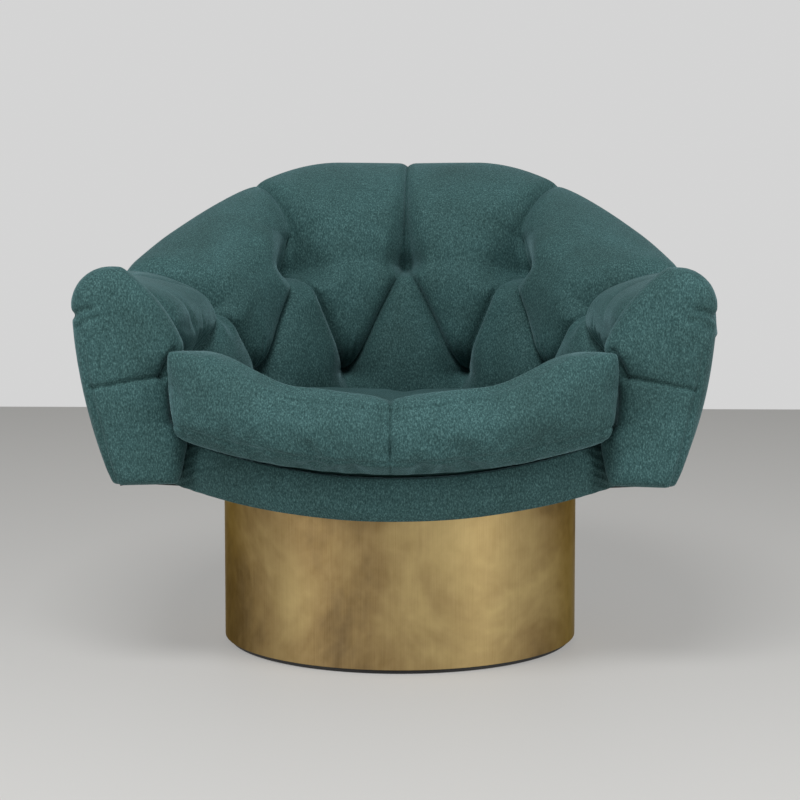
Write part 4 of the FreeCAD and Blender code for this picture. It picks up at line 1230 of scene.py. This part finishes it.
def make_brass():
    # Painted shade: the dark brown edge tint darkens the gloss at the drum's sides.
    paint, tree, shader = new_finish("aged_brass", Metallic=1.0, Specular_Tint=(0.42, 0.36, 0.24, 1))
    clouds = use_group(tree, CLOUDS, Scale=5.0, Contrast=3.4)
    specks = use_group(tree, CLOUDS, Scale=45.0, Contrast=1.4)
    brush = use_group(tree, GRAIN, Scale_X=900.0, Scale_Y=900.0, Scale_Z=14.0, Roughness=0.5)
    warm = ramp(
        tree, clouds, (0.0, (0.10, 0.058, 0.020)), (0.4, (0.30, 0.20, 0.075)), (1.0, (0.60, 0.45, 0.19))
    )
    worn = tinted(tree, 0.25, warm, ramp(tree, specks, (0, (0.2, 0.13, 0.06)), (1, (0.6, 0.45, 0.24))))
    lined = tinted(tree, 0.12, worn, ramp(tree, brush, (0.3, (0.25, 0.17, 0.08)), (0.7, (0.6, 0.46, 0.25))))
    tree.links.new(lined, shader.inputs["Base Color"])
    tree.links.new(mixed(tree, clouds, 0.46, 0.30), shader.inputs["Roughness"])
    bump(tree, shader, brush, 0.00004)
    return paint


# %% [markdown]
# ## Wood, board, cloth and steel
# The other finishes are mostly out of sight, but they show when the cushion is out or the
# chair is turned over. Each is grain between two or three of its real colours, under clouds.

# %% The plainer finishes


def plain_finish(name, scales, stops, rough, height, **values):
    """A finish from grain at three scales: its colours along it, roughness span and relief."""
    paint, tree, shader = new_finish(name, **values)
    mask = use_group(tree, GRAIN, Scale_X=scales[0], Scale_Y=scales[1], Scale_Z=scales[2])
    clouds = use_group(tree, CLOUDS, Scale=11.0, Contrast=1.5)
    worn = ramp(tree, clouds, (0.0, (0.78, 0.78, 0.78)), (1.0, (1.0, 1.0, 1.0)))
    tree.links.new(tinted(tree, 1.0, ramp(tree, mask, *stops), worn, "MULTIPLY"), shader.inputs["Base Color"])
    tree.links.new(mixed(tree, mask, *rough), shader.inputs["Roughness"])
    bump(tree, shader, mask, height)
    return paint


FINISHES = {
    "plush": make_plush(),
    "aged_brass": make_brass(),
    "black_board": plain_finish(
        "black_board", (60.0, 420.0, 420.0),
        ((0.3, (0.004, 0.004, 0.004)), (0.7, (0.014, 0.013, 0.012))), (0.5, 0.7), 0.0002,
    ),
    "plywood": plain_finish(
        "birch_plywood", (8.0, 150.0, 640.0),
        ((0.3, (0.42, 0.27, 0.13)), (0.5, (0.58, 0.41, 0.23)), (0.7, (0.68, 0.51, 0.32))), (0.5, 0.7), 0.0002,
    ),
    "hardwood": plain_finish(
        "beech", (90.0, 30.0, 200.0),
        ((0.3, (0.36, 0.20, 0.10)), (0.5, (0.50, 0.31, 0.17)), (0.7, (0.60, 0.40, 0.24))),
        (0.45, 0.65), 0.0002,
    ),
    "fibreboard": plain_finish(
        "grey_fibreboard", (700.0, 700.0, 700.0),
        ((0.3, (0.16, 0.13, 0.10)), (0.7, (0.34, 0.29, 0.23))), (0.75, 0.95), 0.0003,
    ),
    "zinc_steel": plain_finish(
        "zinc_steel", (500.0, 60.0, 500.0),
        ((0.3, (0.42, 0.43, 0.44)), (0.7, (0.62, 0.62, 0.60))), (0.3, 0.5), 0.00003, Metallic=1.0,
    ),
    "deck_cloth": plain_finish(
        "deck_cloth", (900.0, 900.0, 900.0),
        ((0.3, (0.012, 0.060, 0.054)), (0.7, (0.040, 0.140, 0.125))), (0.8, 0.95), 0.0004, Sheen_Weight=0.2,
    ),
    "cambric": plain_finish(
        "black_cambric", (800.0, 800.0, 300.0),
        ((0.3, (0.006, 0.006, 0.007)), (0.7, (0.030, 0.030, 0.032))), (0.85, 1.0), 0.0003,
    ),
}
# Black stain for the seat platform: partly the board's own paint, partly painted shade under the arm feet.
STAINED_AND_SHADE = plain_finish(
    "black_stained_plywood", (8.0, 150.0, 640.0),
    ((0.3, (0.010, 0.009, 0.008)), (0.7, (0.028, 0.024, 0.020))), (0.6, 0.8), 0.0002,
)
print("finishes:", sorted(FINISHES))

# %% [markdown]
# ## Dress every part
# The new pieces name the record's finish themselves. The solid parts that stay keep their
# shape and swap each of their own materials for the finer one, looked up by name. The seat
# platform's plywood is stained black instead: partly its own paint, partly painted shade
# where its edge shows under the arm feet.

# %% Dress


dressed = 0
for item in list(bpy.context.scene.objects):
    if item.type != "MESH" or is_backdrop(item):
        continue
    if "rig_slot" in item:
        item.data.materials.clear()
        item.data.materials.append(FINISHES[item["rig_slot"]])
        dressed += 1
for name, node in frame["nodes"].items():
    for spot in node.material_slots:
        key = spot.material.name.split(".")[0] if spot.material else ""
        if key in FINISHES:
            # The seat platform is stained black, partly its own paint and partly painted shade.
            spot.material = STAINED_AND_SHADE if name == "seat_platform" else FINISHES[key]
            dressed += 1
        else:
            print("no finish for", name, key)
print("dressed:", dressed)
